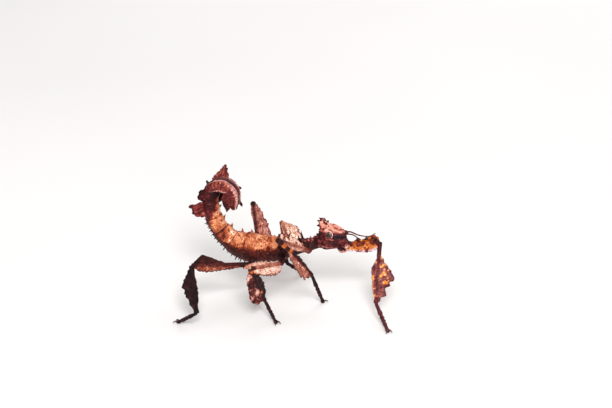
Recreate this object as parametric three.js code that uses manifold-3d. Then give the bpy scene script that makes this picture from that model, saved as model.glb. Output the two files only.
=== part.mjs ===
// A young female giant prickly stick insect (Extatosoma tiaratum), life size, standing
// with its leafy tail curled up over its back and its left foreleg stretched out in front.
// Millimetres. +X runs to the head, +Y to the insect's left, +Z up. The feet stand on z = 0.
import * as THREE from "three";
import { mergeVertices } from "three/addons/utils/BufferGeometryUtils.js";
import Module from "manifold-3d";

const wasm = await Module();
wasm.setup();

// ---------------------------------------------------------------- driving dimensions

// Where the neck joins the head, and the slope of the body's centreline there.
// Headings are in degrees, seen from the right side: 0 runs straight to the rear,
// 90 straight up, 180 forward again.
const NECK = { x: 16.5, z: 16.4, heading: -24 };

// Body lengths from the neck to the tip of the tail. `bend` is the turn of the centreline
// along the piece. `half` is half the width and half the depth at the piece's front end.
const TRUNK = [
  { name: "prothorax", length: 4.6, bend: 7, half: [1.45, 1.5] },
  { name: "mesothorax", length: 9.2, bend: 11, half: [1.7, 1.65] },
  { name: "metathorax", length: 6.5, bend: 14, half: [2.9, 3.5] },
  { name: "abdomen_2", length: 3.8, bend: 25, half: [3.4, 3.85] },
  { name: "abdomen_3", length: 4.0, bend: 22, half: [3.2, 2.55] },
  { name: "abdomen_4", length: 4.0, bend: 19, half: [2.75, 2.2] },
  { name: "abdomen_5", length: 4.0, bend: 15, half: [2.4, 2.1] },
  { name: "abdomen_6", length: 3.7, bend: 43, half: [2.35, 2.1] },
  { name: "abdomen_7", length: 3.5, bend: 72, half: [2.3, 2.1] },
  { name: "abdomen_8", length: 3.2, bend: 60, half: [2.05, 1.85] },
  { name: "abdomen_9", length: 2.2, bend: 14, half: [1.7, 1.55] },
  { name: "abdomen_10", length: 1.6, bend: 4, half: [1.3, 1.2] },
];
const TAIL_END = [0.6, 0.55];

// Leafy side lobes of the tail, a pair to a segment. `root` is the part of the segment that
// a lobe grows from and `sweep` is how far its tip trails to the rear. `reach`, from the
// centreline, and `droop`, the turn towards the belly, are those of the right and left lobe.
const TAIL_LOBES = [
  { segment: "abdomen_5", root: [0.2, 0.95], reach: [6.0, 6.0], sweep: 2.0, droop: [41, 41] },
  { segment: "abdomen_6", root: [0.05, 0.95], reach: [4.2, 4.2], sweep: 0.8, droop: [30, 35] },
  { segment: "abdomen_7", root: [0.02, 0.98], reach: [4.6, 5.6], sweep: 0.6, droop: [-28, 36] },
  { segment: "abdomen_8", root: [0.1, 0.9], reach: [4.0, 3.1], sweep: 0.8, droop: [-45, 10] },
  { segment: "abdomen_9", root: [0.25, 0.98], reach: [4.4, 3.0], sweep: 2.0, droop: [-55, 12] },
];
const LOBE_THICKNESS = 0.55;

// Head: cross-sections from nape to face as [x, z of the middle, half width, half height].
const HEAD = [
  [15.9, 17.3, 1.1, 1.7],
  [16.6, 17.8, 1.85, 2.9],
  [17.6, 18.2, 2.25, 3.5],
  [19.6, 18.1, 2.25, 3.2],
  [21.4, 17.6, 1.85, 2.65],
  [22.6, 17.2, 1.3, 2.0],
  [23.0, 17.1, 0.7, 1.2],
];
const CROWN = { x: 17.0, z: 20.4, radius: 1.15, height: 1.6 };
// Crown spines: lean forward and outward in degrees, and length.
const CROWN_SPINES = [
  [-48, 12, 1.5],
  [-12, 26, 1.2],
  [20, 10, 1.2],
];
const EYE = { x: 19.15, y: 1.95, z: 19.2, half: [0.88, 0.55, 1.02] };
const ANTENNA_RADIUS = 0.27;

// Legs. `coxa` is where a leg enters the body and `hip` is the femur's base beside it. The
// limbs are given as azimuth (from +X towards +Y) and elevation in degrees. The foot's
// elevation follows from the height of the ankle.
const LENGTHS = {
  fore: { femur: 13.6, tibia: 16.2, tarsus: 9.8 },
  mid: { femur: 12.0, tibia: 10.9, tarsus: 7.0 },
  hind: { femur: 15.2, tibia: 13.2, tarsus: 7.2 },
};
const LEGS = [
  {
    name: "fore_right",
    pair: "fore",
    coxa: [14.4, -0.7, 15.9],
    hip: [13.9, -1.9, 14.3],
    femur: [-114.4, 31],
    tibia: [54, -50.5],
    tarsus: 61,
  },
  {
    name: "fore_left",
    pair: "fore",
    coxa: [15.7, 0.9, 15.6],
    hip: [17.0, 1.9, 14.1],
    femur: [17, 4],
    tibia: [-81, -44.5],
    tarsus: -57,
  },
  {
    name: "mid_right",
    pair: "mid",
    coxa: [6.8, -1.6, 12.4],
    hip: [7.4, -4.4, 11.3],
    femur: [-113, 13.5],
    tibia: [60, -66],
    tarsus: -43,
  },
  {
    name: "mid_left",
    pair: "mid",
    coxa: [6.8, 1.6, 12.4],
    hip: [7.4, 4.4, 11.3],
    femur: [118, 14],
    tibia: [-60, -66],
    tarsus: 41,
  },
  {
    name: "hind_right",
    pair: "hind",
    coxa: [-0.4, -1.6, 11.2],
    hip: [-0.8, -3.9, 9.9],
    femur: [-146, 7.8],
    tibia: [-66, -37],
    tarsus: 165,
  },
  {
    name: "hind_left",
    pair: "hind",
    coxa: [-0.4, 1.6, 11.2],
    hip: [-0.8, 3.9, 9.9],
    femur: [114, 34.4],
    tibia: [-45, -69],
    tarsus: 60,
  },
];

// Leafy keels of the limbs. `roll` turns the keel about the limb: 0 is the upper edge, 90
// the front face, 180 the lower edge. `from`, `to` and `peak` are fractions of the limb's
// length, and `point` sharpens the outline from a round leaf (0.5) to a triangle (1.6).
const KEELS = {
  fore_femur_right: [
    { roll: 0, from: 0.12, to: 0.98, peak: 0.55, height: 2.1, point: 0.5, teeth: 5 },
    { roll: 180, from: 0.2, to: 0.97, peak: 0.6, height: 0.9, point: 0.7, teeth: 4 },
  ],
  fore_femur_left: [
    { roll: 0, from: 0.3, to: 0.97, peak: 0.85, height: 1.4, point: 0.9, teeth: 4 },
    { roll: 180, from: 0.2, to: 0.97, peak: 0.75, height: 2.2, point: 0.7, teeth: 5 },
  ],
  fore_tibia_right: [
    { roll: 0, from: 0.34, to: 0.97, peak: 0.7, height: 1.7, point: 0.8, teeth: 4 },
    { roll: 180, from: 0.25, to: 0.92, peak: 0.55, height: 1.2, point: 0.7, teeth: 4 },
  ],
  fore_tibia_left: [
    { roll: 0, from: 0.24, to: 0.97, peak: 0.55, height: 3.9, point: 0.85, teeth: 5 },
    { roll: 180, from: 0.28, to: 0.97, peak: 0.42, height: 1.5, point: 0.8, teeth: 3 },
  ],
  mid_femur_right: [
    { roll: 135, from: 0.02, to: 0.96, peak: 0.4, height: 2.5, point: 0.55, teeth: 6 },
    { roll: -30, from: 0.15, to: 0.98, peak: 0.7, height: 1.3, point: 0.7, teeth: 4 },
  ],
  mid_femur_left: [
    { roll: 85, from: 0.04, to: 0.99, peak: 0.35, height: 4.1, point: 0.55, teeth: 6 },
    { roll: -90, from: 0.3, to: 0.97, peak: 0.7, height: 0.9, point: 0.7, teeth: 4 },
  ],
  mid_tibia: [
    { roll: 0, from: 0.05, to: 0.96, peak: 0.62, height: 3.3, point: 0.6, teeth: 5 },
    { roll: 180, from: 0.08, to: 0.96, peak: 0.5, height: 1.8, point: 0.6, teeth: 4 },
  ],
  hind_femur_right: [
    { roll: 0, from: 0.3, to: 0.98, peak: 0.78, height: 2.7, point: 0.8, teeth: 4 },
    { roll: 180, from: 0.2, to: 0.98, peak: 0.75, height: 1.6, point: 0.6, teeth: 5 },
  ],
  hind_femur_left: [
    { roll: 90, from: 0.08, to: 0.98, peak: 0.35, height: 3.3, point: 0.7, teeth: 6 },
    { roll: -90, from: 0.4, to: 0.98, peak: 0.8, height: 0.8, point: 0.7, teeth: 4 },
  ],
  hind_tibia: [
    { roll: 0, from: 0.05, to: 0.95, peak: 0.45, height: 2.6, point: 0.8, teeth: 4 },
    { roll: 180, from: 0.1, to: 0.9, peak: 0.55, height: 0.8, point: 0.7, teeth: 4 },
  ],
};
const KEEL_THICKNESS = 0.5;
const ROD = { femur: [0.62, 0.5], tibia: [0.46, 0.4], tarsus: [0.44, 0.38] };
const PAD = { radius: 0.5, height: 0.3 };

// Flats round the body's and the limbs' sections.
const SIDES = 12;
const ROD_SIDES = 6;
const deg = THREE.MathUtils.degToRad;

// ---------------------------------------------------------------- solids

// A closed solid of a three.js geometry.
function solid(geometry) {
  const bare = geometry.clone();
  bare.deleteAttribute("normal");
  bare.deleteAttribute("uv");
  const merged = mergeVertices(bare, 1e-4);
  return new wasm.Manifold(
    new wasm.Mesh({
      numProp: 3,
      vertProperties: merged.attributes.position.array,
      triVerts: new Uint32Array(merged.index.array),
    }),
  );
}

// The three.js geometry of a solid.
function geometryOf(body) {
  const mesh = body.getMesh();
  const geometry = new THREE.BufferGeometry();
  geometry.setAttribute("position", new THREE.BufferAttribute(mesh.vertProperties.slice(), 3));
  geometry.setIndex(new THREE.BufferAttribute(mesh.triVerts.slice(), 1));
  geometry.computeVertexNormals();
  return geometry;
}

// Joins solids into one.
function join(first, ...others) {
  return others.reduce((sum, other) => sum.add(other), first);
}

// The closed skin through a row of rings, each a list of points, with flat ends.
function loft(rings) {
  const count = rings[0].length;
  const positions = [];
  const index = [];
  rings.flat().forEach((p) => positions.push(p.x, p.y, p.z));
  for (let i = 0; i < rings.length - 1; i++) {
    for (let j = 0; j < count; j++) {
      const a = i * count + j;
      const b = i * count + ((j + 1) % count);
      index.push(a, a + count, b, b, a + count, b + count);
    }
  }
  [rings[0], rings.at(-1)].forEach((ring, end) => {
    const middle = ring.reduce((sum, p) => sum.add(p), new THREE.Vector3()).divideScalar(count);
    const hub = positions.length / 3;
    positions.push(middle.x, middle.y, middle.z);
    const start = end ? (rings.length - 1) * count : 0;
    for (let j = 0; j < count; j++) {
      const a = start + j;
      const b = start + ((j + 1) % count);
      index.push(...(end ? [b, a, hub] : [a, b, hub]));
    }
  });
  const geometry = new THREE.BufferGeometry();
  geometry.setAttribute("position", new THREE.Float32BufferAttribute(positions, 3));
  geometry.setIndex(index);
  return geometry;
}

// A rod from one point to another with a radius at each end, blunt tips, and knots between
// them, each a fraction of the length and a radius.
function rod(from, to, r0, r1, knots = []) {
  const axis = new THREE.Vector3().subVectors(to, from);
  const length = axis.length();
  const profile = [
    [0, -0.6 * r0],
    [r0, 0],
    ...knots.map(([t, r]) => [r, t * length]),
    [r1, length],
    [0, length + 0.6 * r1],
  ].map(([r, y]) => new THREE.Vector2(r, y));
  const geometry = new THREE.LatheGeometry(profile, ROD_SIDES);
  const turn = new THREE.Quaternion().setFromUnitVectors(
    new THREE.Vector3(0, 1, 0),
    axis.normalize(),
  );
  geometry.applyQuaternion(turn);
  geometry.translate(from.x, from.y, from.z);
  return solid(geometry);
}

// A spine: a sharp cone standing on `base` and pointing along `direction`.
function spine(base, direction, length, radius = 0.32) {
  const geometry = new THREE.ConeGeometry(radius, length, 5);
  geometry.translate(0, length / 2 - 0.25, 0);
  const turn = new THREE.Quaternion().setFromUnitVectors(
    new THREE.Vector3(0, 1, 0),
    direction.clone().normalize(),
  );
  geometry.applyQuaternion(turn);
  geometry.translate(base.x, base.y, base.z);
  return solid(geometry);
}

// A flat plate of a closed outline, laid in the plane of `along` and `out` through `origin`.
function plate(outline, thickness, origin, along, out) {
  const shape = new THREE.Shape(outline.map(([u, v]) => new THREE.Vector2(u, v)));
  const geometry = new THREE.ExtrudeGeometry(shape, {
    depth: thickness,
    bevelEnabled: false,
    steps: 1,
  });
  geometry.translate(0, 0, -thickness / 2);
  const normal = new THREE.Vector3().crossVectors(along, out);
  const frame = new THREE.Matrix4().makeBasis(along, out, normal).setPosition(origin);
  geometry.applyMatrix4(frame);
  return solid(geometry);
}

// ---------------------------------------------------------------- body

// The centreline of each body length: start and end heading, start point and arc position.
function layOutTrunk() {
  let heading = deg(NECK.heading);
  let x = NECK.x;
  let z = NECK.z;
  return TRUNK.map((piece, i) => {
    const turn = deg(piece.bend);
    const radius = piece.length / turn;
    const laid = { ...piece, x, z, heading, turn, radius };
    laid.next = TRUNK[i + 1]?.half ?? TAIL_END;
    x -= radius * (Math.sin(heading + turn) - Math.sin(heading));
    z -= radius * (Math.cos(heading + turn) - Math.cos(heading));
    heading += turn;
    return laid;
  });
}

// The frame at fraction t of a body length: its middle, the way to the rear and the way up
// through the back.
function frameAt(piece, t) {
  const h = piece.heading + piece.turn * t;
  const x = piece.x - piece.radius * (Math.sin(h) - Math.sin(piece.heading));
  const z = piece.z - piece.radius * (Math.cos(h) - Math.cos(piece.heading));
  return {
    middle: new THREE.Vector3(x, 0, z),
    rear: new THREE.Vector3(-Math.cos(h), 0, Math.sin(h)),
    back: new THREE.Vector3(Math.sin(h), 0, Math.cos(h)),
  };
}

// One cross-section of the body: a rounded back over side edges and a fuller belly.
function bodyRing({ middle, back }, halfWidth, halfDepth) {
  const ring = [];
  for (let i = 0; i < SIDES; i++) {
    const a = (2 * Math.PI * i) / SIDES;
    const across = Math.sign(Math.cos(a)) * Math.abs(Math.cos(a)) ** 0.9 * halfWidth;
    const upward = Math.sin(a) * halfDepth;
    ring.push(
      middle
        .clone()
        .addScaledVector(back, upward)
        .add(new THREE.Vector3(0, across, 0)),
    );
  }
  return ring;
}

// A body length: slightly pinched where it meets its neighbours, as the plates overlap.
function bodyPiece(piece) {
  const steps = Math.max(3, Math.round(piece.length / 1.4));
  const rings = [];
  for (let i = 0; i <= steps; i++) {
    const t = i / steps;
    const swell = 0.95 + 0.05 * Math.sin(Math.PI * Math.min(1, t * 1.15));
    const width = THREE.MathUtils.lerp(piece.half[0], piece.next[0], t) * swell;
    const depth = THREE.MathUtils.lerp(piece.half[1], piece.next[1], t) * swell;
    rings.push(bodyRing(frameAt(piece, t), width, depth));
  }
  return solid(loft(rings));
}

// Paired spines on the back of a body length, and small ones along the belly's edges.
function bodySpines(piece, t, spread, length, belly) {
  const { middle, rear, back } = frameAt(piece, t);
  const width = THREE.MathUtils.lerp(piece.half[0], piece.next[0], t);
  const depth = THREE.MathUtils.lerp(piece.half[1], piece.next[1], t);
  return [-1, 1].flatMap((side) => {
    const a = deg(belly ? -62 : 90 - spread);
    const across = side * Math.cos(a);
    const upward = Math.sin(a);
    const base = middle
      .clone()
      .addScaledVector(back, upward * depth * 0.96)
      .add(new THREE.Vector3(0, across * width * 0.96, 0));
    const direction = back
      .clone()
      .multiplyScalar(upward)
      .add(new THREE.Vector3(0, across, 0))
      .addScaledVector(rear, 0.25);
    return [spine(base, direction, length)];
  });
}

// A leafy tail lobe on one side of its segment.
function tailLobe(lobe, piece, side) {
  const { middle, rear, back } = frameAt(piece, 0.5);
  const hand = side < 0 ? 0 : 1;
  const reach = lobe.reach[hand];
  const droop = deg(lobe.droop[hand]);
  const out = new THREE.Vector3(0, side * Math.cos(droop), 0).addScaledVector(
    back,
    -Math.sin(droop),
  );
  const start = (lobe.root[0] - 0.5) * piece.length;
  const end = (lobe.root[1] - 0.5) * piece.length;
  const low = 1.2;
  const edge = [
    [start, low],
    [start - 0.35, 0.42 * reach],
    [start + 0.1 * lobe.sweep, 0.66 * reach],
    [start + 0.3 + 0.45 * lobe.sweep, 0.86 * reach],
    [0.5 * lobe.sweep + 0.1, 0.84 * reach],
    [lobe.sweep, reach],
    [lobe.sweep + 0.45, 0.94 * reach],
    [0.45 * (end + lobe.sweep) + 0.25, 0.7 * reach],
    [end + 0.15, 0.52 * reach],
    [end, low],
  ];
  return plate(edge, LOBE_THICKNESS, middle, rear, out);
}

// ---------------------------------------------------------------- legs

// The unit vector of an azimuth and an elevation in degrees.
function heading(azimuth, elevation) {
  const flat = Math.cos(deg(elevation));
  return new THREE.Vector3(
    flat * Math.cos(deg(azimuth)),
    flat * Math.sin(deg(azimuth)),
    Math.sin(deg(elevation)),
  );
}

// The outline of a half leaf on a limb's axis with a toothed free edge.
function keelOutline(length, keel) {
  const start = keel.from * length;
  const end = keel.to * length;
  const steps = keel.teeth * 2;
  const outline = [[start, -0.1]];
  for (let i = 1; i < steps; i++) {
    const u = i / steps;
    const peak = (keel.peak - keel.from) / (keel.to - keel.from);
    const rise = u < peak ? u / peak : (1 - u) / (1 - peak);
    const smooth = Math.sin((Math.PI / 2) * rise) ** keel.point;
    const tooth = i % 2 ? 1 : 0.88;
    const height = keel.height * smooth * tooth;
    outline.push([start + (end - start) * u, height]);
  }
  outline.push([end, -0.1]);
  return outline;
}

// A limb between two joints: a rod with its keels.
function limb(from, direction, length, radii, keels, upper, front) {
  const to = from.clone().addScaledVector(direction, length);
  let body = rod(from, to, radii[0], radii[1]);
  for (const keel of keels) {
    const out = upper
      .clone()
      .multiplyScalar(Math.cos(deg(keel.roll)))
      .addScaledVector(front, Math.sin(deg(keel.roll)));
    body = body.add(plate(keelOutline(length, keel), KEEL_THICKNESS, from, direction, out));
  }
  return body;
}

// The foot: a slim rod of five short lengths that ends in a pad with a claw on each side.
function foot(ankle, direction, length) {
  const tip = ankle.clone().addScaledVector(direction, length - PAD.radius);
  const [thick, thin] = ROD.tarsus;
  const knots = [0.4, 0.6, 0.8].flatMap((t) => [
    [t - 0.04, thick],
    [t, thin - 0.04],
  ]);
  const shaft = rod(ankle, tip, thick, thin, knots);
  const pad = new THREE.SphereGeometry(PAD.radius, 8, 4);
  pad.translate(tip.x, tip.y, PAD.height);
  const across = new THREE.Vector3(-direction.y, direction.x, 0).normalize();
  const ahead = new THREE.Vector3(direction.x, direction.y, 0).normalize();
  const claws = [-1, 1].map((side) => {
    const root = tip.clone().addScaledVector(across, side * 0.2);
    root.z = PAD.height + 0.1;
    return spine(root, ahead.clone().addScaledVector(across, side * 0.4), 1.4);
  });
  return join(shaft, solid(pad), ...claws);
}

// The way a leg runs: its joints and the edges of its limbs.
function layOutLeg(leg) {
  const sizes = LENGTHS[leg.pair];
  const side = Math.sign(leg.hip[1]);
  const coxa = new THREE.Vector3(...leg.coxa);
  const hip = new THREE.Vector3(...leg.hip);
  const femur = heading(...leg.femur);
  const knee = hip.clone().addScaledVector(femur, sizes.femur);
  const tibia = heading(...leg.tibia);
  const ankle = knee.clone().addScaledVector(tibia, sizes.tibia);
  const drop = (ankle.z - PAD.height) / (sizes.tarsus - PAD.radius);
  const tarsus = heading(leg.tarsus, -THREE.MathUtils.radToDeg(Math.asin(drop)));
  const front = new THREE.Vector3().crossVectors(femur, tibia).normalize();
  front.multiplyScalar(-side);
  const upper = (limbWay, other, sign) =>
    other
      .clone()
      .addScaledVector(limbWay, -other.dot(limbWay))
      .normalize()
      .multiplyScalar(sign);
  return {
    name: leg.name,
    pair: leg.pair,
    side,
    sizes,
    coxa,
    hip,
    knee,
    ankle,
    femur,
    tibia,
    tarsus,
    front,
    femurUpper: upper(femur, tibia, -1),
    tibiaUpper: upper(tibia, femur, 1),
  };
}

// ---------------------------------------------------------------- materials

function paint(colour, roughness) {
  return new THREE.MeshStandardMaterial({ color: colour, roughness, metalness: 0 });
}
const TAN = paint(0xc87f4b, 0.6);
const RUST = paint(0x8a4427, 0.62);
const MAROON = paint(0x55242a, 0.6);
const CHESTNUT = paint(0x6b3226, 0.6);
const DUSK = paint(0x3a1a1c, 0.6);
const BARK = paint(0xa56a5a, 0.65);
const PALE_BARK = paint(0xd9ab90, 0.65);
const AMBER = paint(0xb26a34, 0.6);
const SOOT = paint(0x241514, 0.55);
const EYE_SHELL = paint(0xb9a99a, 0.3);

// ---------------------------------------------------------------- assembly

const insect = new THREE.Group();
insect.name = "stick_insect";
const made = [];

// Adds a solid as a named mesh, less every solid already there that it could run into.
function place(name, body, material, neighbours = []) {
  let cut = body;
  for (const other of made) {
    if (neighbours.some((start) => other.name.startsWith(start))) cut = cut.subtract(other.body);
  }
  const parts = cut.decompose().sort((a, b) => b.volume() - a.volume());
  const geometry = geometryOf(parts[0]);
  made.push({ name, body: solid(geometry) });
  const mesh = new THREE.Mesh(geometry, material);
  mesh.name = name;
  insect.add(mesh);
}

// Trunk and tail, with their spines.
const trunk = layOutTrunk();
const colours = { prothorax: DUSK, mesothorax: CHESTNUT, metathorax: RUST };
const SPINES = {
  prothorax: [[0.55, 32, 1.3, false]],
  mesothorax: [
    [0.3, 35, 0.9, false],
    [0.7, 35, 1.0, false],
  ],
  metathorax: [
    [0.3, 30, 0.9, false],
    [0.8, 28, 1.2, false],
  ],
  abdomen_2: [
    [0.55, 24, 1.2, false],
    [0.5, 0, 0.8, true],
  ],
  abdomen_3: [
    [0.6, 24, 1.1, false],
    [0.5, 0, 0.8, true],
  ],
  abdomen_4: [
    [0.5, 24, 1.0, false],
    [0.3, 0, 0.8, true],
  ],
};
for (const piece of trunk) {
  const spines = (SPINES[piece.name] ?? []).flatMap((s) => bodySpines(piece, ...s));
  const body = join(bodyPiece(piece), ...spines);
  const tail = piece.name.startsWith("abdomen") && Number(piece.name.slice(8)) > 4;
  place(piece.name, body, colours[piece.name] ?? (tail ? MAROON : TAN), ["prothorax", "meso", "meta", "abd"]);
}
for (const lobe of TAIL_LOBES) {
  const piece = trunk.find((p) => p.name === lobe.segment);
  for (const [hand, side] of [
    ["right", -1],
    ["left", 1],
  ]) {
    place("lobe_" + lobe.segment.slice(8) + "_" + hand, tailLobe(lobe, piece, side), MAROON, [
      "abdomen",
      "lobe",
    ]);
  }
}

// Eyes, then the head round them.
for (const [hand, side] of [
  ["right", -1],
  ["left", 1],
]) {
  const eye = new THREE.SphereGeometry(1, 12, 8);
  eye.scale(...EYE.half);
  eye.translate(EYE.x, side * EYE.y, EYE.z);
  place("eye_" + hand, solid(eye), EYE_SHELL);
}
const headRings = HEAD.map(([x, z, halfWidth, halfHeight]) => {
  const ring = [];
  for (let i = 0; i < SIDES; i++) {
    const a = (2 * Math.PI * i) / SIDES;
    const narrow = 1 - 0.14 * Math.max(0, Math.sin(a));
    ring.push(
      new THREE.Vector3(x, -Math.cos(a) * halfWidth * narrow, z + Math.sin(a) * halfHeight),
    );
  }
  return ring;
});
const crown = new THREE.CylinderGeometry(0.6 * CROWN.radius, CROWN.radius, CROWN.height, 8);
crown.rotateX(Math.PI / 2);
crown.translate(CROWN.x, 0, CROWN.z + CROWN.height / 2);
const crownSpines = CROWN_SPINES.flatMap(([lean, outward, length]) =>
  [-1, 1].map((side) => {
    const direction = new THREE.Vector3(
      Math.sin(deg(lean)),
      side * Math.sin(deg(outward)),
      Math.cos(deg(lean)),
    );
    const base = new THREE.Vector3(
      CROWN.x + Math.sin(deg(lean)) * 0.6,
      side * 0.45,
      CROWN.z + CROWN.height - 0.3,
    );
    return spine(base, direction, length);
  }),
);
place("head", join(solid(loft(headRings)), solid(crown), ...crownSpines), DUSK, [
  "eye",
  "prothorax",
]);

// Mouthparts: the upper lip and two pairs of palps under the face.
const palps = [
  [[21.6, 0.7, 15.0], [22.6, 1.0, 14.4], [23.2, 1.0, 15.3]],
  [[21.0, 0.4, 14.8], [21.6, 0.6, 13.9], [22.3, 0.6, 13.9]],
].flatMap((points) =>
  [-1, 1].map((side) => {
    const [a, b, c] = points.map((p) => new THREE.Vector3(p[0], side * p[1], p[2]));
    return rod(a, b, 0.3, 0.28).add(rod(b, c, 0.28, 0.26));
  }),
);
const lip = new THREE.SphereGeometry(1, 8, 6);
lip.scale(0.9, 1.0, 1.0);
lip.translate(22.1, 0, 15.2);
place("mouthparts", join(solid(lip), ...palps), CHESTNUT, ["head"]);

// Antennae: a thicker first joint and a thin curved whip.
const ANTENNAE = {
  left: [
    [22.0, 0.6, 19.1],
    [23.8, 1.2, 19.1],
    [25.7, 1.8, 18.2],
    [28.1, 2.6, 17.8],
    [29.6, 3.2, 18.6],
  ],
  right: [
    [22.0, -0.6, 19.1],
    [23.8, -1.2, 19.6],
    [25.3, -1.8, 19.7],
    [26.6, -2.4, 19.1],
    [26.9, -3.0, 18.2],
  ],
};
for (const [hand, points] of Object.entries(ANTENNAE)) {
  const path = new THREE.CatmullRomCurve3(points.map((p) => new THREE.Vector3(...p)));
  const section = new THREE.Shape();
  for (let i = 0; i < 5; i++) {
    const a = (2 * Math.PI * i) / 5;
    const x = ANTENNA_RADIUS * Math.cos(a);
    const y = ANTENNA_RADIUS * Math.sin(a);
    if (i) section.lineTo(x, y);
    else section.moveTo(x, y);
  }
  const whip = new THREE.ExtrudeGeometry(section, {
    steps: 12,
    extrudePath: path,
    bevelEnabled: false,
  });
  const root = path.getPointAt(0.02);
  const scape = rod(root, path.getPointAt(0.14), 0.36, 0.32);
  place("antenna_" + hand, solid(whip).add(scape), CHESTNUT, ["head", "mouth"]);
}

// Legs.
const LOOKS = {
  fore_right: [DUSK, PALE_BARK, CHESTNUT, SOOT],
  fore_left: [DUSK, AMBER, CHESTNUT, MAROON],
  mid_right: [DUSK, PALE_BARK, DUSK, SOOT],
  mid_left: [DUSK, BARK, BARK, SOOT],
  hind_right: [DUSK, CHESTNUT, SOOT, SOOT],
  hind_left: [DUSK, CHESTNUT, SOOT, SOOT],
};
const floor = new THREE.BoxGeometry(120, 120, 10);
floor.translate(0, 0, -5);
const below = solid(floor);
for (const laid of LEGS.map(layOutLeg)) {
  const { name, pair, sizes } = laid;
  const hand = laid.side < 0 ? "_right" : "_left";
  const keels = (limbName) => KEELS[pair + limbName + hand] ?? KEELS[pair + limbName];
  const [coxaLook, femurLook, tibiaLook, footLook] = LOOKS[name];
  const trochanter = rod(laid.coxa, laid.hip, 0.95, 0.68);
  place("coxa_" + name, trochanter, coxaLook, ["pro", "meso", "meta", "abd", "head", "mouth", "coxa"]);
  const femur = limb(
    laid.hip,
    laid.femur,
    sizes.femur,
    ROD.femur,
    keels("_femur"),
    laid.femurUpper,
    laid.front,
  );
  place("femur_" + name, femur, femurLook, ["coxa", "pro", "meso", "meta", "abd", "head", "mouth", "femur"]);
  const tibia = limb(
    laid.knee,
    laid.tibia,
    sizes.tibia,
    ROD.tibia,
    keels("_tibia"),
    laid.tibiaUpper,
    laid.front,
  );
  place("tibia_" + name, tibia, tibiaLook, ["coxa", "femur", "meso", "meta", "abd", "tibia"]);
  const tarsus = foot(laid.ankle, laid.tarsus, sizes.tarsus).subtract(below);
  place("tarsus_" + name, tarsus, footLook, ["femur", "tibia"]);
}

// The origin lies on the floor in the middle of the insect's bounding box.
const box = new THREE.Box3().setFromObject(insect);
const centre = box.getCenter(new THREE.Vector3());
insect.position.set(-centre.x, -centre.y, 0);

export default insect;
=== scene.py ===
"""A spiny leaf-like stick insect nymph, life size, as a still museum model.

The pieces are shaped in millimetres, in the insect's own frame (the one that the body plan
below is written in), and moved to the frame of the CAD model in metres at the end.
"""

import math

import bpy
import numpy as np
from mathutils import Matrix, Vector
from mathutils.kdtree import KDTree


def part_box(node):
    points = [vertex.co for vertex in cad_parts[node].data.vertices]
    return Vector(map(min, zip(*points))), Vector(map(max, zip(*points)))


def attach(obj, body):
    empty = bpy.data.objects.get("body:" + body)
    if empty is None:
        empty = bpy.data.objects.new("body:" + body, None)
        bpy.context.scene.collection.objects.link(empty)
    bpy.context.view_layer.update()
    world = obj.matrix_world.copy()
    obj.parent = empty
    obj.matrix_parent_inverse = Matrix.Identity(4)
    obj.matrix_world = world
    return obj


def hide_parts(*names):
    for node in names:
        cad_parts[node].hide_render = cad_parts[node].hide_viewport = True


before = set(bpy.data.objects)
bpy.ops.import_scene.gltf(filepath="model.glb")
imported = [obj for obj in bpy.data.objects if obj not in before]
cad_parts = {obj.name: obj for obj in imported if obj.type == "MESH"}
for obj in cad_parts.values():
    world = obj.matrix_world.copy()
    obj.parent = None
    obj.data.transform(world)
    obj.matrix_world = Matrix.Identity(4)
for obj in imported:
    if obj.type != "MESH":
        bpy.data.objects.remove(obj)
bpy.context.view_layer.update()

MM = 0.001
RNG = np.random.default_rng(7)

# ---------------------------------------------------------------- body plan, millimetres

NECK = {"x": 16.5, "z": 16.4, "heading": -24}

# Body lengths from the neck to the tail: name, length, bend in degrees, and half the width
# and depth at the front end.
TRUNK = [
    ("prothorax", 4.6, 7, 1.45, 1.5),
    ("mesothorax", 9.2, 11, 1.7, 1.65),
    ("metathorax", 6.5, 14, 2.9, 3.5),
    ("abdomen_2", 3.8, 25, 3.4, 3.85),
    ("abdomen_3", 4.0, 22, 3.2, 2.55),
    ("abdomen_4", 4.0, 19, 2.75, 2.2),
    ("abdomen_5", 4.0, 15, 2.4, 2.1),
    ("abdomen_6", 3.7, 43, 2.35, 2.1),
    ("abdomen_7", 3.5, 72, 2.3, 2.1),
    ("abdomen_8", 3.2, 60, 2.05, 1.85),
    ("abdomen_9", 2.2, 14, 1.7, 1.55),
    ("abdomen_10", 1.6, 4, 1.3, 1.2),
]
TAIL_END = (0.6, 0.55)

EYE = {"x": 19.15, "y": 1.95, "z": 19.2, "half": (0.88, 0.55, 1.02)}

LENGTHS = {
    "fore": {"femur": 13.6, "tibia": 16.2, "tarsus": 9.8},
    "mid": {"femur": 12.0, "tibia": 10.9, "tarsus": 7.0},
    "hind": {"femur": 15.2, "tibia": 13.2, "tarsus": 7.2},
}
# Each leg: coxa and hip points, then azimuth and elevation of femur and tibia, and the
# azimuth of the foot.
LEGS = {
    "fore_right": ((14.4, -0.7, 15.9), (13.9, -1.9, 14.3), (-114.4, 31), (54, -50.5), 61),
    "fore_left": ((15.7, 0.9, 15.6), (17.0, 1.9, 14.1), (17, 4), (-81, -44.5), -57),
    "mid_right": ((6.8, -1.6, 12.4), (7.4, -4.4, 11.3), (-113, 13.5), (60, -66), -43),
    "mid_left": ((6.8, 1.6, 12.4), (7.4, 4.4, 11.3), (118, 14), (-60, -66), 41),
    "hind_right": ((-0.4, -1.6, 11.2), (-0.8, -3.9, 9.9), (-146, 7.8), (-66, -37), 165),
    "hind_left": ((-0.4, 1.6, 11.2), (-0.8, 3.9, 9.9), (114, 34.4), (-45, -69), 60),
}
PAD = {"radius": 0.5, "height": 0.3}

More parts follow.
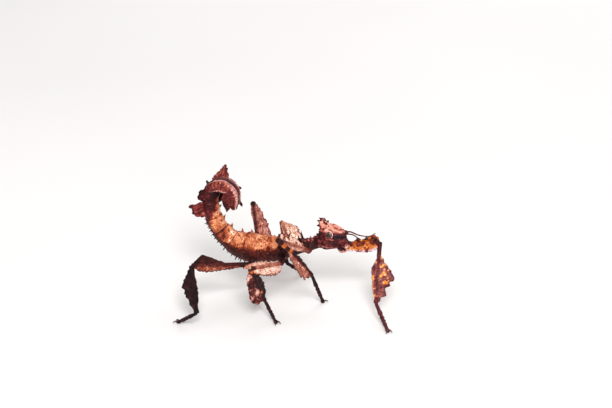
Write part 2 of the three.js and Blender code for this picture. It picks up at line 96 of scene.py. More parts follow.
# The frame's origin in the body plan, from where the CAD model holds the right eye.
low, high = (np.array(corner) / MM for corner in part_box("eye_right"))
SHIFT = (low + high) / 2 - np.array([EYE["x"], -EYE["y"], EYE["z"]])

# ---------------------------------------------------------------- small tools


def unit(v):
    return np.asarray(v, float) / np.linalg.norm(v)


def smooth(x):
    x = np.clip(x, 0, 1)
    return x * x * (3 - 2 * x)


def hump(x, centre, width):
    """A bell of height 1 round a centre."""
    return np.exp(-(((x - centre) / width) ** 2))


def look_of(tone, hue, accent=0.0):
    """Looks for many points; any of the three can also be one number for all of them."""
    return np.stack(np.broadcast_arrays(tone, hue, accent), axis=-1)


def heading(azimuth, elevation):
    a, e = math.radians(azimuth), math.radians(elevation)
    return np.array([math.cos(e) * math.cos(a), math.cos(e) * math.sin(a), math.sin(e)])


def lumps(p, size, seed=0):
    """Smooth noise from -1 to 1 at the points p, in lumps of about `size` millimetres."""
    q = np.asarray(p, float) / size + seed * 17.31
    cell = np.floor(q).astype(np.int64)
    f = smooth(q - cell)
    total = np.zeros(len(q))
    for corner in np.ndindex(2, 2, 2):
        c = cell + corner
        h = (c[:, 0] * 73856093) ^ (c[:, 1] * 19349663) ^ (c[:, 2] * 83492791)
        h = ((h ^ (h >> 13)) * 1274126177) & 0xFFFFFFFF
        h ^= h >> 16
        weight = np.prod(np.where(corner, f, 1 - f), axis=1)
        total += ((h & 0xFFFF) / 32767.5 - 1) * weight
    return total


def grain(p, size, seed=0):
    """Two octaves of lumps."""
    return 0.65 * lumps(p, size, seed) + 0.35 * lumps(p, size * 0.45, seed + 3)


def quads(index):
    """Faces between neighbouring rows and columns of a grid of point numbers."""
    corners = (index[:-1, :-1], index[1:, :-1], index[1:, 1:], index[:-1, 1:])
    return np.stack(corners, axis=-1).reshape(-1, 4).tolist()


class Clay:
    """Closed shells of points and faces, each point with its look.

    A look is three numbers: tone from dark to light, hue between a material's first two
    palettes, and accent towards its third.
    """

    def __init__(self):
        self.points = []
        self.faces = []
        self.looks = []
        self.count = 0

    def add(self, points, faces, look):
        self.points.append(np.asarray(points, float))
        self.faces.extend([[i + self.count for i in face] for face in faces])
        self.looks.append(np.broadcast_to(look, (len(points), 3)))
        self.count += len(points)

    def loft(self, rings, look):
        """A closed tube through rings of equal count, shaped (rings, count, 3)."""
        rings = np.asarray(rings, float)
        index = np.arange(rings[..., 0].size).reshape(rings.shape[:2])
        faces = quads(np.hstack([index, index[:, :1]]))
        faces += [index[0].tolist(), index[-1, ::-1].tolist()]
        self.add(rings.reshape(-1, 3), faces, np.reshape(look, (-1, 3)))


def tube_rings(path, radii, sides=16, ribs=0, rib_height=0.0, up=(0, 0, 1), flat=1.0):
    """Rings round a path. `ribs` ridges of rib_height stand along it; flat squashes it."""
    path = np.asarray(path, float)
    radii = np.broadcast_to(radii, len(path))
    way = np.gradient(path, axis=0)
    way /= np.linalg.norm(way, axis=1)[:, None]
    side = np.cross(way, up)
    side /= np.linalg.norm(side, axis=1)[:, None]
    top = np.cross(side, way)
    a = np.linspace(0, 2 * math.pi, sides, endpoint=False)
    shape = 1 + (rib_height * np.abs(np.cos(ribs * a / 2)) ** 6 if ribs else 0)
    across = np.cos(a) * shape * flat
    upward = np.sin(a) * shape
    return (
        path[:, None]
        + radii[:, None, None] * across[None, :, None] * side[:, None]
        + radii[:, None, None] * upward[None, :, None] * top[:, None]
    )


def curve(points, count):
    """A smooth path of `count` points through the given ones (Catmull-Rom)."""
    p = np.asarray(points, float)
    p = np.vstack([2 * p[0] - p[1], p, 2 * p[-1] - p[-2]])
    t = np.linspace(0, len(p) - 3 - 1e-9, count)
    i = t.astype(int)
    f = (t - i)[:, None]
    a, b, c, d = p[i], p[i + 1], p[i + 2], p[i + 3]
    return 0.5 * (
        2 * b + (c - a) * f + (2 * a - 5 * b + 4 * c - d) * f**2 + (3 * b - a - 3 * c + d) * f**3
    )


def worm(points, radii, sides, **more):
    """Rings round a smooth path through the given points, with one ring for each radius."""
    return tube_rings(curve(points, len(radii)), radii, sides, **more)


SPINE_ROOT = 0.25
SPINE_TIP = 0.055


def spine(clay, base, direction, length, radius, look, bend=(0, 0, 0), sides=10):
    """A sharp spine, rooted a little way inside its base; `bend` is its tip's shift in lengths."""
    direction = unit(direction)
    t = np.linspace(0, 1, 9)
    path = base + np.outer(t * length - SPINE_ROOT, direction)
    path = path + np.outer(t**2, np.asarray(bend) * length)
    radii = radius * (1 - t) ** 0.85 * (1 + 0.35 * hump(t, 0, 0.12)) + SPINE_TIP
    steep = abs(direction[2]) > 0.6
    up = (0.3, 0.8, 0.52) if steep else (0, 0, 1)
    clay.loft(tube_rings(path, radii, sides, up=up), look)


TOOTH_LEAN = 0.35


def rim_points(outline, count, teeth, tooth):
    """An outline resampled evenly, with `teeth` saw teeth standing out of it."""
    p = np.asarray(outline, float)
    steps = np.r_[0, np.cumsum(np.linalg.norm(np.diff(p, axis=0), axis=1))]
    at = np.linspace(0, steps[-1], count)
    rim = np.stack([np.interp(at, steps, p[:, k]) for k in (0, 1)], axis=1)
    way = np.gradient(rim, axis=0)
    way /= np.linalg.norm(way, axis=1)[:, None]
    outward = np.stack([-way[:, 1], way[:, 0]], axis=1)
    turn = at / steps[-1] * teeth + 0.22 * np.sin(at / steps[-1] * teeth * 2.1 + teeth)
    phase = turn % 1
    saw = np.where(phase < 0.72, phase / 0.72, (1 - phase) / 0.28)
    fade = np.clip(np.minimum(at, steps[-1] - at) / (0.1 * steps[-1]), 0, 1)
    # The sine's far digits give each tooth its own size.
    chance = np.sin(np.floor(turn) * 12.9898 + teeth) * 43758.5453 % 1
    size = tooth * fade * (0.35 + 0.95 * chance)
    rim += outward * (saw * size)[:, None] + way * (TOOTH_LEAN * saw * size)[:, None]
    return rim


LEAF_ROWS = 16
LEAF_COLUMNS = 90


def leaf(clay, origin, along, out, root, outline, look, teeth=10, tooth=0.25,
         thick=(0.5, 0.22), cup=0.0, wave=0.0, veins=5):
    """A thin toothed leaf between its root line and its outline.

    `root` is the stretch of the limb it grows from, `outline` is in millimetres along the
    limb and outward, `look` takes (p, q, points): p runs along the rim, q from root to rim.
    """
    rows, columns = LEAF_ROWS, LEAF_COLUMNS
    normal = np.cross(along, out)
    rim = rim_points(outline, columns, teeth, tooth)
    p = np.linspace(0, 1, columns)
    base = np.stack([root[0] + (root[1] - root[0]) * p, np.zeros(columns)], axis=1)
    q = np.linspace(0, 1, rows)
    flat = base[:, None] * (1 - q)[None, :, None] + rim[:, None] * q[None, :, None]
    height = np.linalg.norm(rim - base, axis=1)
    bend = cup * q**2 * np.minimum(1, height / 2)[:, None]
    ripple = wave * np.sin(p * 9.5 + 1.3)[:, None] * q**1.5
    slant = (p[:, None] * veins + q * 0.9 - 0.06 * veins) * math.pi
    vein = 0.1 * np.abs(np.sin(slant)) ** 10 * (1 - q**3)
    vein += 0.05 * np.abs(np.sin(q * math.pi * 3.5)) ** 6
    gauge = thick[0] + (thick[1] - thick[0]) * q**0.7
    middle = origin + flat[..., :1] * along + flat[..., 1:] * out + (bend + ripple)[..., None] * normal
    half = (gauge / 2 + vein)[..., None] * normal
    add_sheets(clay, np.stack([middle + half, middle - half]), look)


def add_sheets(clay, sheets, look):
    """Closes a top and a bottom sheet of (columns, rows) points into one thin shell."""
    top, bottom = index = np.arange(sheets[..., 0].size).reshape(sheets.shape[:3])
    edges = [
        (top[:, -1], bottom[:, -1]), (bottom[:, 0], top[:, 0]), (top[0], bottom[0]), (bottom[-1], top[-1]),
    ]
    faces = quads(top) + quads(bottom.T)
    for edge in edges:
        faces += quads(np.stack(edge, axis=1))
    p = np.broadcast_to(np.linspace(0, 1, index.shape[1])[:, None], index.shape)
    q = np.broadcast_to(np.linspace(0, 1, index.shape[2]), index.shape)
    points = sheets.reshape(-1, 3)
    clay.add(points, faces, look(p.reshape(-1), q.reshape(-1), points))


def make_object(name, points, faces):
    mesh = bpy.data.meshes.new(name)
    mesh.from_pydata([tuple(p) for p in points], [], faces)
    mesh.update()
    obj = bpy.data.objects.new(name, mesh)
    bpy.context.scene.collection.objects.link(obj)
    return obj


def read(values, key):
    """One vector per vertex, from a mesh's vertices or vertex normals."""
    flat = np.empty(len(values) * 3)
    values.foreach_get(key, flat)
    return flat.reshape(-1, 3)


def finish_mesh(obj, points, looks, material):
    """Writes points (millimetres) and looks to an object, in the frame's metres."""
    mesh = obj.data
    mesh.vertices.foreach_set("co", ((points + SHIFT) * MM).reshape(-1))
    attribute = mesh.attributes.new("Look", "FLOAT_COLOR", "POINT")
    attribute.data.foreach_set("color", np.hstack([looks, np.ones((len(looks), 1))]).reshape(-1))
    mesh.polygons.foreach_set("use_smooth", [True] * len(mesh.polygons))
    mesh.materials.append(material)
    mesh.update()
    return obj


def cast(clay, name, material):
    """The clay's shells as they are, for a piece that needs no melting."""
    points = np.vstack(clay.points)
    return finish_mesh(make_object(name, points, clay.faces), points, np.vstack(clay.looks), material)


NEIGHBOURS = 4
# The melted skins' voxels, in millimetres.
VOXEL = {"body": 0.1, "head": 0.068, "mouth": 0.06, "leg": 0.085}


def melt(clay, name, material, relief):
    """Melts the clay's shells into one closed skin, with the looks of the nearest clay."""
    cloud, looks = np.vstack(clay.points), np.vstack(clay.looks)
    source = make_object(name + "_clay", cloud, clay.faces)
    remesh = source.modifiers.new("melt", "REMESH")
    remesh.mode = "VOXEL"
    remesh.voxel_size = VOXEL[name.split("_")[0]]
    remesh.adaptivity = 0
    ease = source.modifiers.new("relax", "SMOOTH")
    ease.factor = 0.5
    ease.iterations = 1
    graph = bpy.context.evaluated_depsgraph_get()
    mesh = bpy.data.meshes.new_from_object(source.evaluated_get(graph))
    mesh.name = name
    obj = bpy.data.objects.new(name, mesh)
    bpy.context.scene.collection.objects.link(obj)
    tree = KDTree(len(cloud))
    for i, point in enumerate(cloud):
        tree.insert(point, i)
    tree.balance()
    points = read(mesh.vertices, "co")
    found = np.empty((len(points), 3))
    for i, point in enumerate(points):
        near = tree.find_n(point, NEIGHBOURS)
        # The added 0.02 keeps the weight finite where a point lies on one of the clay's own.
        weight = np.array([1 / (distance + 0.02) for _, _, distance in near])
        found[i] = weight @ looks[[k for _, k, _ in near]] / weight.sum()
    points = points + read(mesh.vertex_normals, "vector") * relief(points, found)[:, None]
    bpy.data.objects.remove(source)
    return finish_mesh(obj, points, found, material)


# ---------------------------------------------------------------- materials


def srgb(code):
    """Linear colour of a six-digit hex code."""
    parts = [int(code[i : i + 2], 16) / 255 for i in (0, 2, 4)]
    return [c / 12.92 if c <= 0.04045 else ((c + 0.055) / 1.055) ** 2.4 for c in parts] + [1]


class Nodes:
    """Short calls for building a node tree."""

    def __init__(self, name):
        self.material = bpy.data.materials.new(name)
        self.material.use_nodes = True
        self.tree = self.material.node_tree
        self.tree.nodes.clear()
        output = self.add("ShaderNodeOutputMaterial")
        self.shader = self.add("ShaderNodeBsdfPrincipled")
        self.link(self.shader.outputs[0], output.inputs[0])

    def add(self, kind, **settings):
        node = self.tree.nodes.new(kind)
        for key, value in settings.items():
            setattr(node, key, value)
        return node

    def link(self, a, b):
        self.tree.links.new(a, b)

    def fill(self, node, values):
        """Gives a node's inputs their values: numbers, colours or other nodes' outputs."""
        for key, value in values.items():
            if hasattr(value, "is_linked"):
                self.link(value, node.inputs[key])
            else:
                node.inputs[key].default_value = value

    def place(self):
        return self.add("ShaderNodeTexCoord").outputs["Object"]

    def look(self):
        """Tone, hue and accent of the surface."""
        attribute = self.add("ShaderNodeAttribute", attribute_name="Look")
        split = self.add("ShaderNodeSeparateColor")
        self.link(attribute.outputs["Color"], split.inputs[0])
        return split.outputs

    def noise(self, scale, detail, roughness, distortion, vector, output="Fac"):
        node = self.add("ShaderNodeTexNoise")
        names = ("Scale", "Detail", "Roughness", "Distortion", "Vector")
        self.fill(node, dict(zip(names, (scale, detail, roughness, distortion, vector))))
        return node.outputs[output]

    def cells(self, scale, vector, feature="F1"):
        node = self.add("ShaderNodeTexVoronoi", feature=feature)
        self.fill(node, {"Scale": scale, "Vector": vector})
        return node.outputs["Distance"]

    def math(self, operation, a, b=0.0, c=0.0, clamp=False):
        node = self.add("ShaderNodeMath", operation=operation, use_clamp=clamp)
        self.fill(node, {0: a, 1: b, 2: c})
        return node.outputs[0]

    def spread(self, value, from_low, from_high, to_low, to_high):
        node = self.add("ShaderNodeMapRange")
        names = ("Value", "From Min", "From Max", "To Min", "To Max")
        self.fill(node, dict(zip(names, (value, from_low, from_high, to_low, to_high))))
        return node.outputs[0]

    def ramp(self, value, stops):
        node = self.add("ShaderNodeValToRGB")
        elements = node.color_ramp.elements
        while len(elements) < len(stops):
            elements.new(0.5)
        for element, (position, code) in zip(elements, stops):
            element.position = position
            element.color = srgb(code)
        self.link(value, node.inputs[0])
        return node.outputs[0]

    def mix(self, factor, a, b):
        """Two colours mixed; a mix node keeps its colours at inputs 6 and 7 and output 2."""
        node = self.add("ShaderNodeMix", data_type="RGBA")
        self.fill(node, {"Factor": factor, 6: a, 7: b})
        return node.outputs[2]

    def bump(self, height, distance, strength, normal=None):
        node = self.add("ShaderNodeBump")
        self.fill(node, {"Strength": strength, "Distance": distance, "Height": height})
        if normal is not None:
            self.link(normal, node.inputs["Normal"])
        return node.outputs[0]

    def finish(self, values):
        self.fill(self.shader, values)
        return self.material


def cuticle(name, first, second, third, mottle, grain_size=0.45, bump=0.05):
    """Insect cuticle: tone through one of three palettes, mottled, cracked and granular."""
    n = Nodes(name)
    tone, hue, accent = n.look()
    place = n.place()
    per_mm = 1 / MM
    blotch = n.noise(0.6 * per_mm, 4, 0.6, 0.4, place)
    speck = n.noise(2.6 * per_mm, 3, 0.65, 0.0, place)
    grit = n.cells(per_mm / grain_size, place)
    warp = n.add("ShaderNodeMix", data_type="VECTOR")
    warped = n.noise(1.6 * per_mm, 2, 0.5, 0.0, place, "Color")
    n.fill(warp, {"Factor": 0.6 * MM, 4: place, 5: warped})
    cracks = n.cells(0.8 * per_mm, warp.outputs[1], "DISTANCE_TO_EDGE")
    fine = n.noise(9 * per_mm, 2, 0.6, 0.0, place)
    shade = n.math("MULTIPLY_ADD", n.math("SUBTRACT", blotch, 0.5), mottle * 2.4, tone)
    shade = n.math("MULTIPLY_ADD", n.math("SUBTRACT", speck, 0.5), mottle * 2.4, shade)
    shade = n.math("MULTIPLY_ADD", n.math("SUBTRACT", 0.32, grit), mottle * 0.7, shade)
    line = n.spread(cracks, 0.0, 0.05, mottle * 0.4, 0.0)
    shade = n.math("SUBTRACT", shade, line, clamp=True)
    colour = n.mix(hue, n.ramp(shade, first), n.ramp(shade, second))
    colour = n.mix(accent, colour, n.ramp(shade, third))
    roughness = n.spread(speck, 0.3, 0.7, 0.38, 0.65)
    coarse = n.bump(n.math("SUBTRACT", 1.0, grit), bump * MM, 0.8)
    middle = n.bump(speck, 0.08 * MM, 0.8, coarse)
    normal = n.bump(fine, 0.025 * MM, 0.8, middle)
    return n.finish({
        "Base Color": colour, "Roughness": roughness, "Specular IOR Level": 0.16, "Normal": normal,
    })


# Palettes: tone, and its colour.
TAN = [
    (0.0, "1a0504"), (0.2, "48120b"), (0.36, "86331a"), (0.52, "bb643c"), (0.7, "e19469"),
    (0.86, "f4bd9a"), (1.0, "fee8d8"),
]
MAROON = [
    (0.0, "130405"), (0.25, "380c0f"), (0.45, "671f22"), (0.62, "94413f"),
    (0.8, "c57d76"), (1.0, "f4cfc6"),
]
PINK = [
    (0.0, "3a1416"), (0.3, "7d403c"), (0.55, "c88880"), (0.8, "f2c6ba"), (1.0, "fff4ee"),
]
SALMON = [
    (0.0, "1b0708"), (0.25, "541a1a"), (0.45, "97453a"), (0.62, "d0826c"),
    (0.8, "f2b7a2"), (1.0, "feeae2"),
]
NAVY = [
    (0.0, "07060b"), (0.3, "1c1220"), (0.5, "3f2732"), (0.7, "7d4f58"),
    (0.85, "c08e92"), (1.0, "f0d4d2"),
]
BARK = [
    (0.0, "120505"), (0.22, "3e130f"), (0.4, "813e32"), (0.58, "bb7560"),
    (0.76, "e6ae94"), (1.0, "fef0e8"),
]
AMBER = [
    (0.0, "1c0808"), (0.26, "58160e"), (0.46, "a34310"), (0.64, "dc7c20"),
    (0.82, "f6b24e"), (1.0, "fde6ac"),
]
PLUM = [
    (0.0, "11050a"), (0.25, "380e16"), (0.42, "662b32"), (0.6, "945257"),
    (0.8, "caa0a9"), (1.0, "f8eef2"),
]

body_look = cuticle("body_cuticle", TAN, MAROON, PINK, mottle=0.2)
head_look = cuticle("head_cuticle", SALMON, MAROON, NAVY, mottle=0.19, grain_size=0.3)
leg_look = cuticle("leg_cuticle", BARK, AMBER, PLUM, mottle=0.2, grain_size=0.35, bump=0.045)

# ---------------------------------------------------------------- trunk and tail

STATIONS = 620
AROUND = 132


class Spinal:
    """The body's centreline, read at any distance s from the neck."""

    def __init__(self):
        lengths = [t[1] for t in TRUNK]
        self.starts = np.r_[0, np.cumsum(lengths)]
        self.total = self.starts[-1]
        fine = np.linspace(0, self.total, 4001)
        piece = np.clip(np.searchsorted(self.starts, fine, side="right") - 1, 0, len(TRUNK) - 1)
        rate = np.array([t[2] / t[1] for t in TRUNK])[piece]
        ds = np.diff(fine)
        h = np.radians(NECK["heading"] + np.r_[0, np.cumsum((rate[1:] + rate[:-1]) / 2 * ds)])
        self.x = NECK["x"] + np.r_[0, np.cumsum(-np.cos((h[1:] + h[:-1]) / 2) * ds)]
        self.z = NECK["z"] + np.r_[0, np.cumsum(np.sin((h[1:] + h[:-1]) / 2) * ds)]
        self.h = h
        self.fine = fine
        self.sizes = np.array([t[3:] for t in TRUNK] + [TAIL_END])

    def start(self, name):
        return self.starts[[t[0] for t in TRUNK].index(name)]

    def at(self, s):
        """Middle, way to the rear and way up through the back."""
        h = np.interp(s, self.fine, self.h)
        x, z = np.interp(s, self.fine, self.x), np.interp(s, self.fine, self.z)
        zero = np.zeros_like(h)
        middle = np.stack([x, zero, z], axis=-1)
        rear = np.stack([-np.cos(h), zero, np.sin(h)], axis=-1)
        back = np.stack([np.sin(h), zero, np.cos(h)], axis=-1)
        return middle, rear, back

    def size_at(self, s, k):
        return np.interp(s, self.starts, self.sizes[:, k])

    def half(self, s):
        """Half width and half depth, eased between the body lengths' ends."""
        ease = 0.9
        return [
            (self.size_at(s, k) + (self.size_at(s - ease, k) + self.size_at(s + ease, k)) / 2) / 2
            for k in (0, 1)
        ]


spinal = Spinal()


def body_point(s, angle, lift=0.0):
    """A point on the trunk, and its ways out and to the rear.

    An angle of 90 is the back, 180 the right side and 270 the belly.
    """
    middle, rear, back = spinal.at(s)
    width, depth = spinal.half(s)
    a = math.radians(angle)
    out = np.array([0, math.cos(a), 0]) * width + back * math.sin(a) * depth
    return middle + out * (1 + lift), unit(out), rear


def trunk_rings():
    """Distances from the neck, places within the body lengths, angles and the rings' points."""
    s = np.linspace(0.0, spinal.total, STATIONS)
    middle, _, back = spinal.at(s)
    width, depth = spinal.half(s)
    a = np.linspace(0, 2 * math.pi, AROUND, endpoint=False)
    cos, sin = np.cos(a), np.sin(a)
    piece = np.clip(np.searchsorted(spinal.starts, s, side="right") - 1, 0, len(TRUNK) - 1)
    t = (s - spinal.starts[piece]) / (spinal.starts[piece + 1] - spinal.starts[piece])
    # Each plate rises to its rear edge and laps over the front of the next one.
    lap = np.where(t < 0.9, smooth(t / 0.9), 1 - smooth((t - 0.9) / 0.1))
    swell = 0.915 + 0.085 * lap
    abdomen = smooth((s - spinal.start("metathorax")) / 3)
    tail = smooth((s - spinal.start("abdomen_5") + 1.5) / 3)
    # The side margin stands out between the back's plates and the softer belly.
    degrees = np.degrees(a)
    from_belly = (degrees + 90) % 360
    margin = hump(from_belly, 82, 9) + hump(from_belly, 278, 9)
    keel = hump(degrees, 228, 7) + hump(degrees, 312, 7)
    ridge = hump(degrees, 90, 8)
    shape = 1 + np.outer(0.03 + 0.03 * abdomen, margin) + np.outer(0.09 * tail, keel)
    shape += np.outer(0.03 * (1 - tail), ridge)
    belly = np.clip(-sin, 0, 1) ** 0.5
    folds = 0.014 * np.outer(np.sin(s * 7.5) * abdomen * (1 - tail), belly)
    folds += 0.008 * np.outer(np.sin(s * 11) * abdomen, np.abs(cos))
    ends = np.sqrt(np.clip(np.minimum(s + 0.05, (spinal.total - s) * 1.6 + 0.02) / 0.8, 0, 1))
    shape = (shape + folds) * (swell * ends)[:, None]
    across = np.sign(cos) * np.abs(cos) ** 0.92
    points = middle[:, None] + back[:, None] * (shape * sin * depth[:, None])[..., None]
    points[..., 1] += shape * across * width[:, None]
    return s, t, a, points


# Where the tan back ends: distance from the neck, and height on the flank (1 is the top).
BORDER = [
    (9.6, 1.1), (11.2, 0.25), (14.0, 0.2), (21.0, 0.22), (24.5, 0.0), (29.0, -0.4), (33.0, -0.7),
]
# The stretch inside the curl that gets painted shade, darkest on its back: first and last distance from
# the neck.
CURL_SHADE = (37.2, 45.5)


def trunk_looks(s, t, a, points):
    flat = points.reshape(-1, 3)
    size = points.shape[:2]
    s, t, sin, degrees = s[:, None], t[:, None], np.sin(a), np.degrees(a)
    big = grain(flat, 1.9, 1).reshape(size)
    mid = grain(flat, 0.75, 5).reshape(size)
    small = grain(flat, 0.35, 7).reshape(size)
    across = lumps(flat * [0.35, 1.0, 0.35], 0.8, 9).reshape(size)
    # Fine wrinkles run round the body, so their tone follows the distance from the neck.
    wrinkle = np.sin(s * 11 + 5 * big + 2.2 * mid)
    border = np.interp(s, *zip(*BORDER)) + 0.16 * big + 0.06 * small
    back = smooth((sin - border + 0.1) / 0.2)
    # top grows as a point faces up; the tan below lightens with it, a painted highlight on the back.
    top = np.clip(sin, 0, 1)
    belly = 0.2 + 0.09 * mid + 0.05 * wrinkle + 0.05 * small
    tan = 0.5 + 0.14 * top + 0.36 * big + 0.2 * mid + 0.07 * wrinkle + 0.05 * across
    # Plates: a red-brown rear edge, a pale front that is palest on the top (partly own colour, partly
    # painted highlight), and dark curved marks above the border.
    rear = hump(t, 0.93, 0.07)
    tan += 0.17 * hump(t, 0.35, 0.22) * top - 0.34 * rear * (0.65 + 0.7 * np.abs(mid))
    tan -= 0.16 * hump(sin, border + 0.16 + 0.1 * np.sin(t * 6), 0.05) * (mid > -0.15)
    tone = belly + back * (tan - belly)
    # A dark bark-like front, with paler knobs.
    thorax = 1 - smooth((s - 10.0 - 0.9 * big) / 0.9)
    knobs = lumps(flat, 0.9, 13).reshape(size) > 0.1
    dark = 0.2 + 0.2 * mid + 0.1 * small + 0.14 * top * knobs
    tone = tone * (1 - thorax) + thorax * dark
    # The curled tail is maroon, with orange left along the inner side.
    tail = smooth((s - spinal.start("abdomen_5") + 0.9 - 1.4 * sin - 0.8 * big) / 1.6)
    early = 1 - smooth((s - spinal.start("abdomen_6") - 2) / 1.5)
    tail = tail * (1 - 0.8 * smooth((sin - 0.72 + 0.2 * big) / 0.2) * early)
    lines = np.sin(degrees * 0.55 + 2.5 * big + 1.5 * mid)
    maroon = 0.34 + 0.12 * mid + 0.1 * big + 0.05 * lines + 0.04 * small
    # Painted shade: the back inside the curl is darkened where the coil shades it.
    inside = smooth((s - CURL_SHADE[0]) / 1.5) * smooth((CURL_SHADE[1] - s) / 1.5)
    maroon -= 0.2 * smooth((sin - 0.05) / 0.3) * inside
    tone = tone * (1 - tail) + maroon * tail
    hue = np.clip(tail + 0.8 * thorax + 0.35 * (1 - back) * (1 - thorax), 0, 1)
    # Two pale folds run low along each side near the tail's end; their paleness is partly own colour,
    # partly painted highlight.
    late = smooth((s - spinal.start("abdomen_7") + 1) / 1.5)
    folds = hump(degrees, 224, 7) + 0.8 * hump(degrees, 241, 5)
    folds += hump(degrees, 316, 7) + 0.8 * hump(degrees, 299, 5)
    accent = np.clip(late * folds, 0, 1)
    return look_of(tone + accent * (0.5 + 0.2 * mid), hue, accent)


def add_trunk(clay):
    s, t, a, points = trunk_rings()
    clay.loft(points, trunk_looks(s, t, a, points))


def plant(clay, at, angle, sink, lean, length, radius, look, bend=0.0, sides=10):
    """A spine on the trunk, leaning to the rear by `lean` and bending there by `bend`."""
    base, out, rear = body_point(at, angle, -sink)
    spine(clay, base, out + lean * rear, length, radius, look, bend * rear, sides)


# Blunt thorn pairs on the back: distance from the neck, spread and length.
BACK_THORNS = [
    (12.4, 36, 0.9), (15.8, 30, 1.0), (18.9, 27, 1.3), (22.3, 24, 1.35), (26.4, 24, 1.3),
    (30.2, 24, 1.15), (33.8, 26, 0.9), (5.6, 34, 0.9), (8.4, 34, 1.0),
]
# Where the dark front ends and the tan back begins, from the neck.
TAN_START = 10.4
SCATTERED_SPINES = 150
FRONT_KNOBS = 120


def add_back_thorns(clay):
    for at, spread, length in BACK_THORNS:
        look = (0.46, 0.05, 0) if at > TAN_START else (0.12, 0.8, 0)
        for side in (-1, 1):
            plant(clay, at, 90 - side * spread, 0.06, 0.25, length, 0.42, look, 0.3, 14)
            low = 90 - side * (spread + 13)
            plant(clay, at + 0.5, low, 0.04, 0.3, 0.45 * length, 0.22, look, 0.2)
    # A dark toothed collar where the tan back begins.
    for step in range(11):
        at = TAN_START + 0.35 * math.sin(step * 2.4)
        length = (0.75, 1.15, 0.6)[step % 3]
        plant(clay, at, 12 + 15.6 * step, 0.03, 0.2, length, 0.34, (0.05, 0.7, 0), -0.15)


def add_small_spines(clay):
    """Small ones scattered over the back and flanks, and knobs on the dark front."""
    for _ in range(SCATTERED_SPINES):
        at, angle = RNG.uniform(10.5, 36), RNG.uniform(-8, 188)
        plant(clay, at, angle, 0.02, 0.3, RNG.uniform(0.18, 0.36), 0.12, (0.4, 0.1, 0), sides=7)
    for _ in range(FRONT_KNOBS):
        at, angle = RNG.uniform(0.8, TAN_START), RNG.uniform(-40, 220)
        look = (RNG.choice([0.12, 0.3, 0.62]), 0.7, 0)
        length, radius = RNG.uniform(0.2, 0.5), RNG.uniform(0.16, 0.3)
        plant(clay, at, angle, 0.05, 0.2, length, radius, look, sides=8)


def add_edge_spines(clay):
    """Dark ones in rows along the belly's edges, then pale teeth low on the middle thorax."""
    for at in np.arange(19.5, 33, 0.95):
        for side in (-1, 1):
            for shift, down, length in ((0, 34, 0.95), (0.5, 20, 0.65)):
                size = length * RNG.uniform(0.7, 1.2)
                plant(clay, at + shift, 270 + side * down, 0.02, 0.1, size, 0.17, (0.08, 0.6, 0))
    for at in np.arange(5.2, 16.5, 0.55):
        look = (0.72 if int(at * 2) % 3 else 0.1, 0.5, 0.6)
        for side in (-1, 1):
            size = RNG.uniform(0.35, 0.65)
            plant(clay, at, 270 - side * 38, 0.03, 0.25, size, 0.17, look, sides=7)


def add_collar_spines(clay):
    """The long curved pair behind the neck's collar, and the collar's own."""
    for side in (-1, 1):
        base, out, rear = body_point(4.7, 90 - side * 26, -0.08)
        bend = np.array([0.0, 0, 0.25]) - 0.3 * rear
        spine(clay, base, out + 0.5 * rear, 2.3, 0.34, (0.04, 1, 0), bend)
        for at, length in ((1.6, 0.8), (2.6, 0.9), (3.6, 0.7)):
            plant(clay, at, 90 - side * 32, 0.05, 0, length, 0.3, (0.55, 0.6, 0.5))


# The peak: the outline of abdomen_7's left lobe, on top of the curl, from its root.
PEAK = [
    (-2.3, 0), (-2.2, 0.9), (-1.4, 2.1), (-0.5, 3.2), (0.15, 4.1), (0.6, 4.6), (1.05, 4.45),
    (1.15, 3.7), (1.55, 3.3), (1.5, 2.6), (1.9, 1.8), (1.8, 0.8), (1.9, 0),
]
# Leafy side lobes of the tail that stand out from it: segment, side, shape, droop to the belly
# in degrees, tone, and tooth size. A shape is where the root starts and ends in shares of the
# segment, then the reach and the sweep to the rear.
TAIL_LOBES = [
    ("abdomen_5", -1, (0.15, 0.97, 6.0, 2.1), 41, 0.47, 0.3),
    # The left lobe of abdomen_5 is darker than the right: partly its own maroon, partly painted shade.
    ("abdomen_5", 1, (0.15, 0.97, 6.0, 2.1), 41, 0.24, 0.35),
    ("abdomen_6", -1, (0.0, 1.0, 4.4, 0.8), 30, 0.26, 0.3),
    ("abdomen_6", 1, (0.05, 0.95, 4.2, 0.8), 35, 0.24, 0.3),
    ("abdomen_7", 1, PEAK, 36, 0.5, 0.35),
    ("abdomen_8", 1, (0.1, 0.9, 3.1, 0.8), 10, 0.34, 0.3),
    ("abdomen_9", 1, (0.1, 0.95, 3.0, 2.0), 12, 0.34, 0.3),
]
# How far the lobes' roots lie from the tail's middle.
LOBE_ROOT = 1.1


def lobe_look(number, base, rim_highlight=0.0, pale_and_highlit_root=0.0):
    """A lobe's look: ribs of tone from the root, blotches, a dark rim or a pale rim that is a painted
    highlight, and a pale root band that is partly own colour and partly painted highlight.
    """

    def look(p, q, points):
        ribs = np.sin(p * 44 + 3 * lumps(points, 0.8, number) + q * 3)
        tone = base + 0.07 * ribs + 0.14 * grain(points, 1.1, number + 11)
        tone += 0.08 * grain(points, 0.4, number + 12) + 0.1 * (1 - q) * (ribs > 0.5)
        rim = smooth((q - 0.88) / 0.12)
        # A pale rim is a painted highlight along the lit edge; without it the rim is darker.
        tone += rim * (0.4 * rim_highlight - 0.2 * (1 - rim_highlight))
        patches = smooth((grain(points, 0.9, number + 15) - 0.05) / 0.2)
        orange = 0.6 * (base > 0.36) * patches * (1 - q)
        # The pale band by the root: partly own colour, partly painted highlight.
        band = pale_and_highlit_root * smooth((0.19 + 0.015 * ribs - q) / 0.08)
        accent = np.clip(rim * rim_highlight + band, 0, 1)
        return look_of(tone + 0.25 * band + 0.15 * orange, 0.95 - orange, accent)

    return look


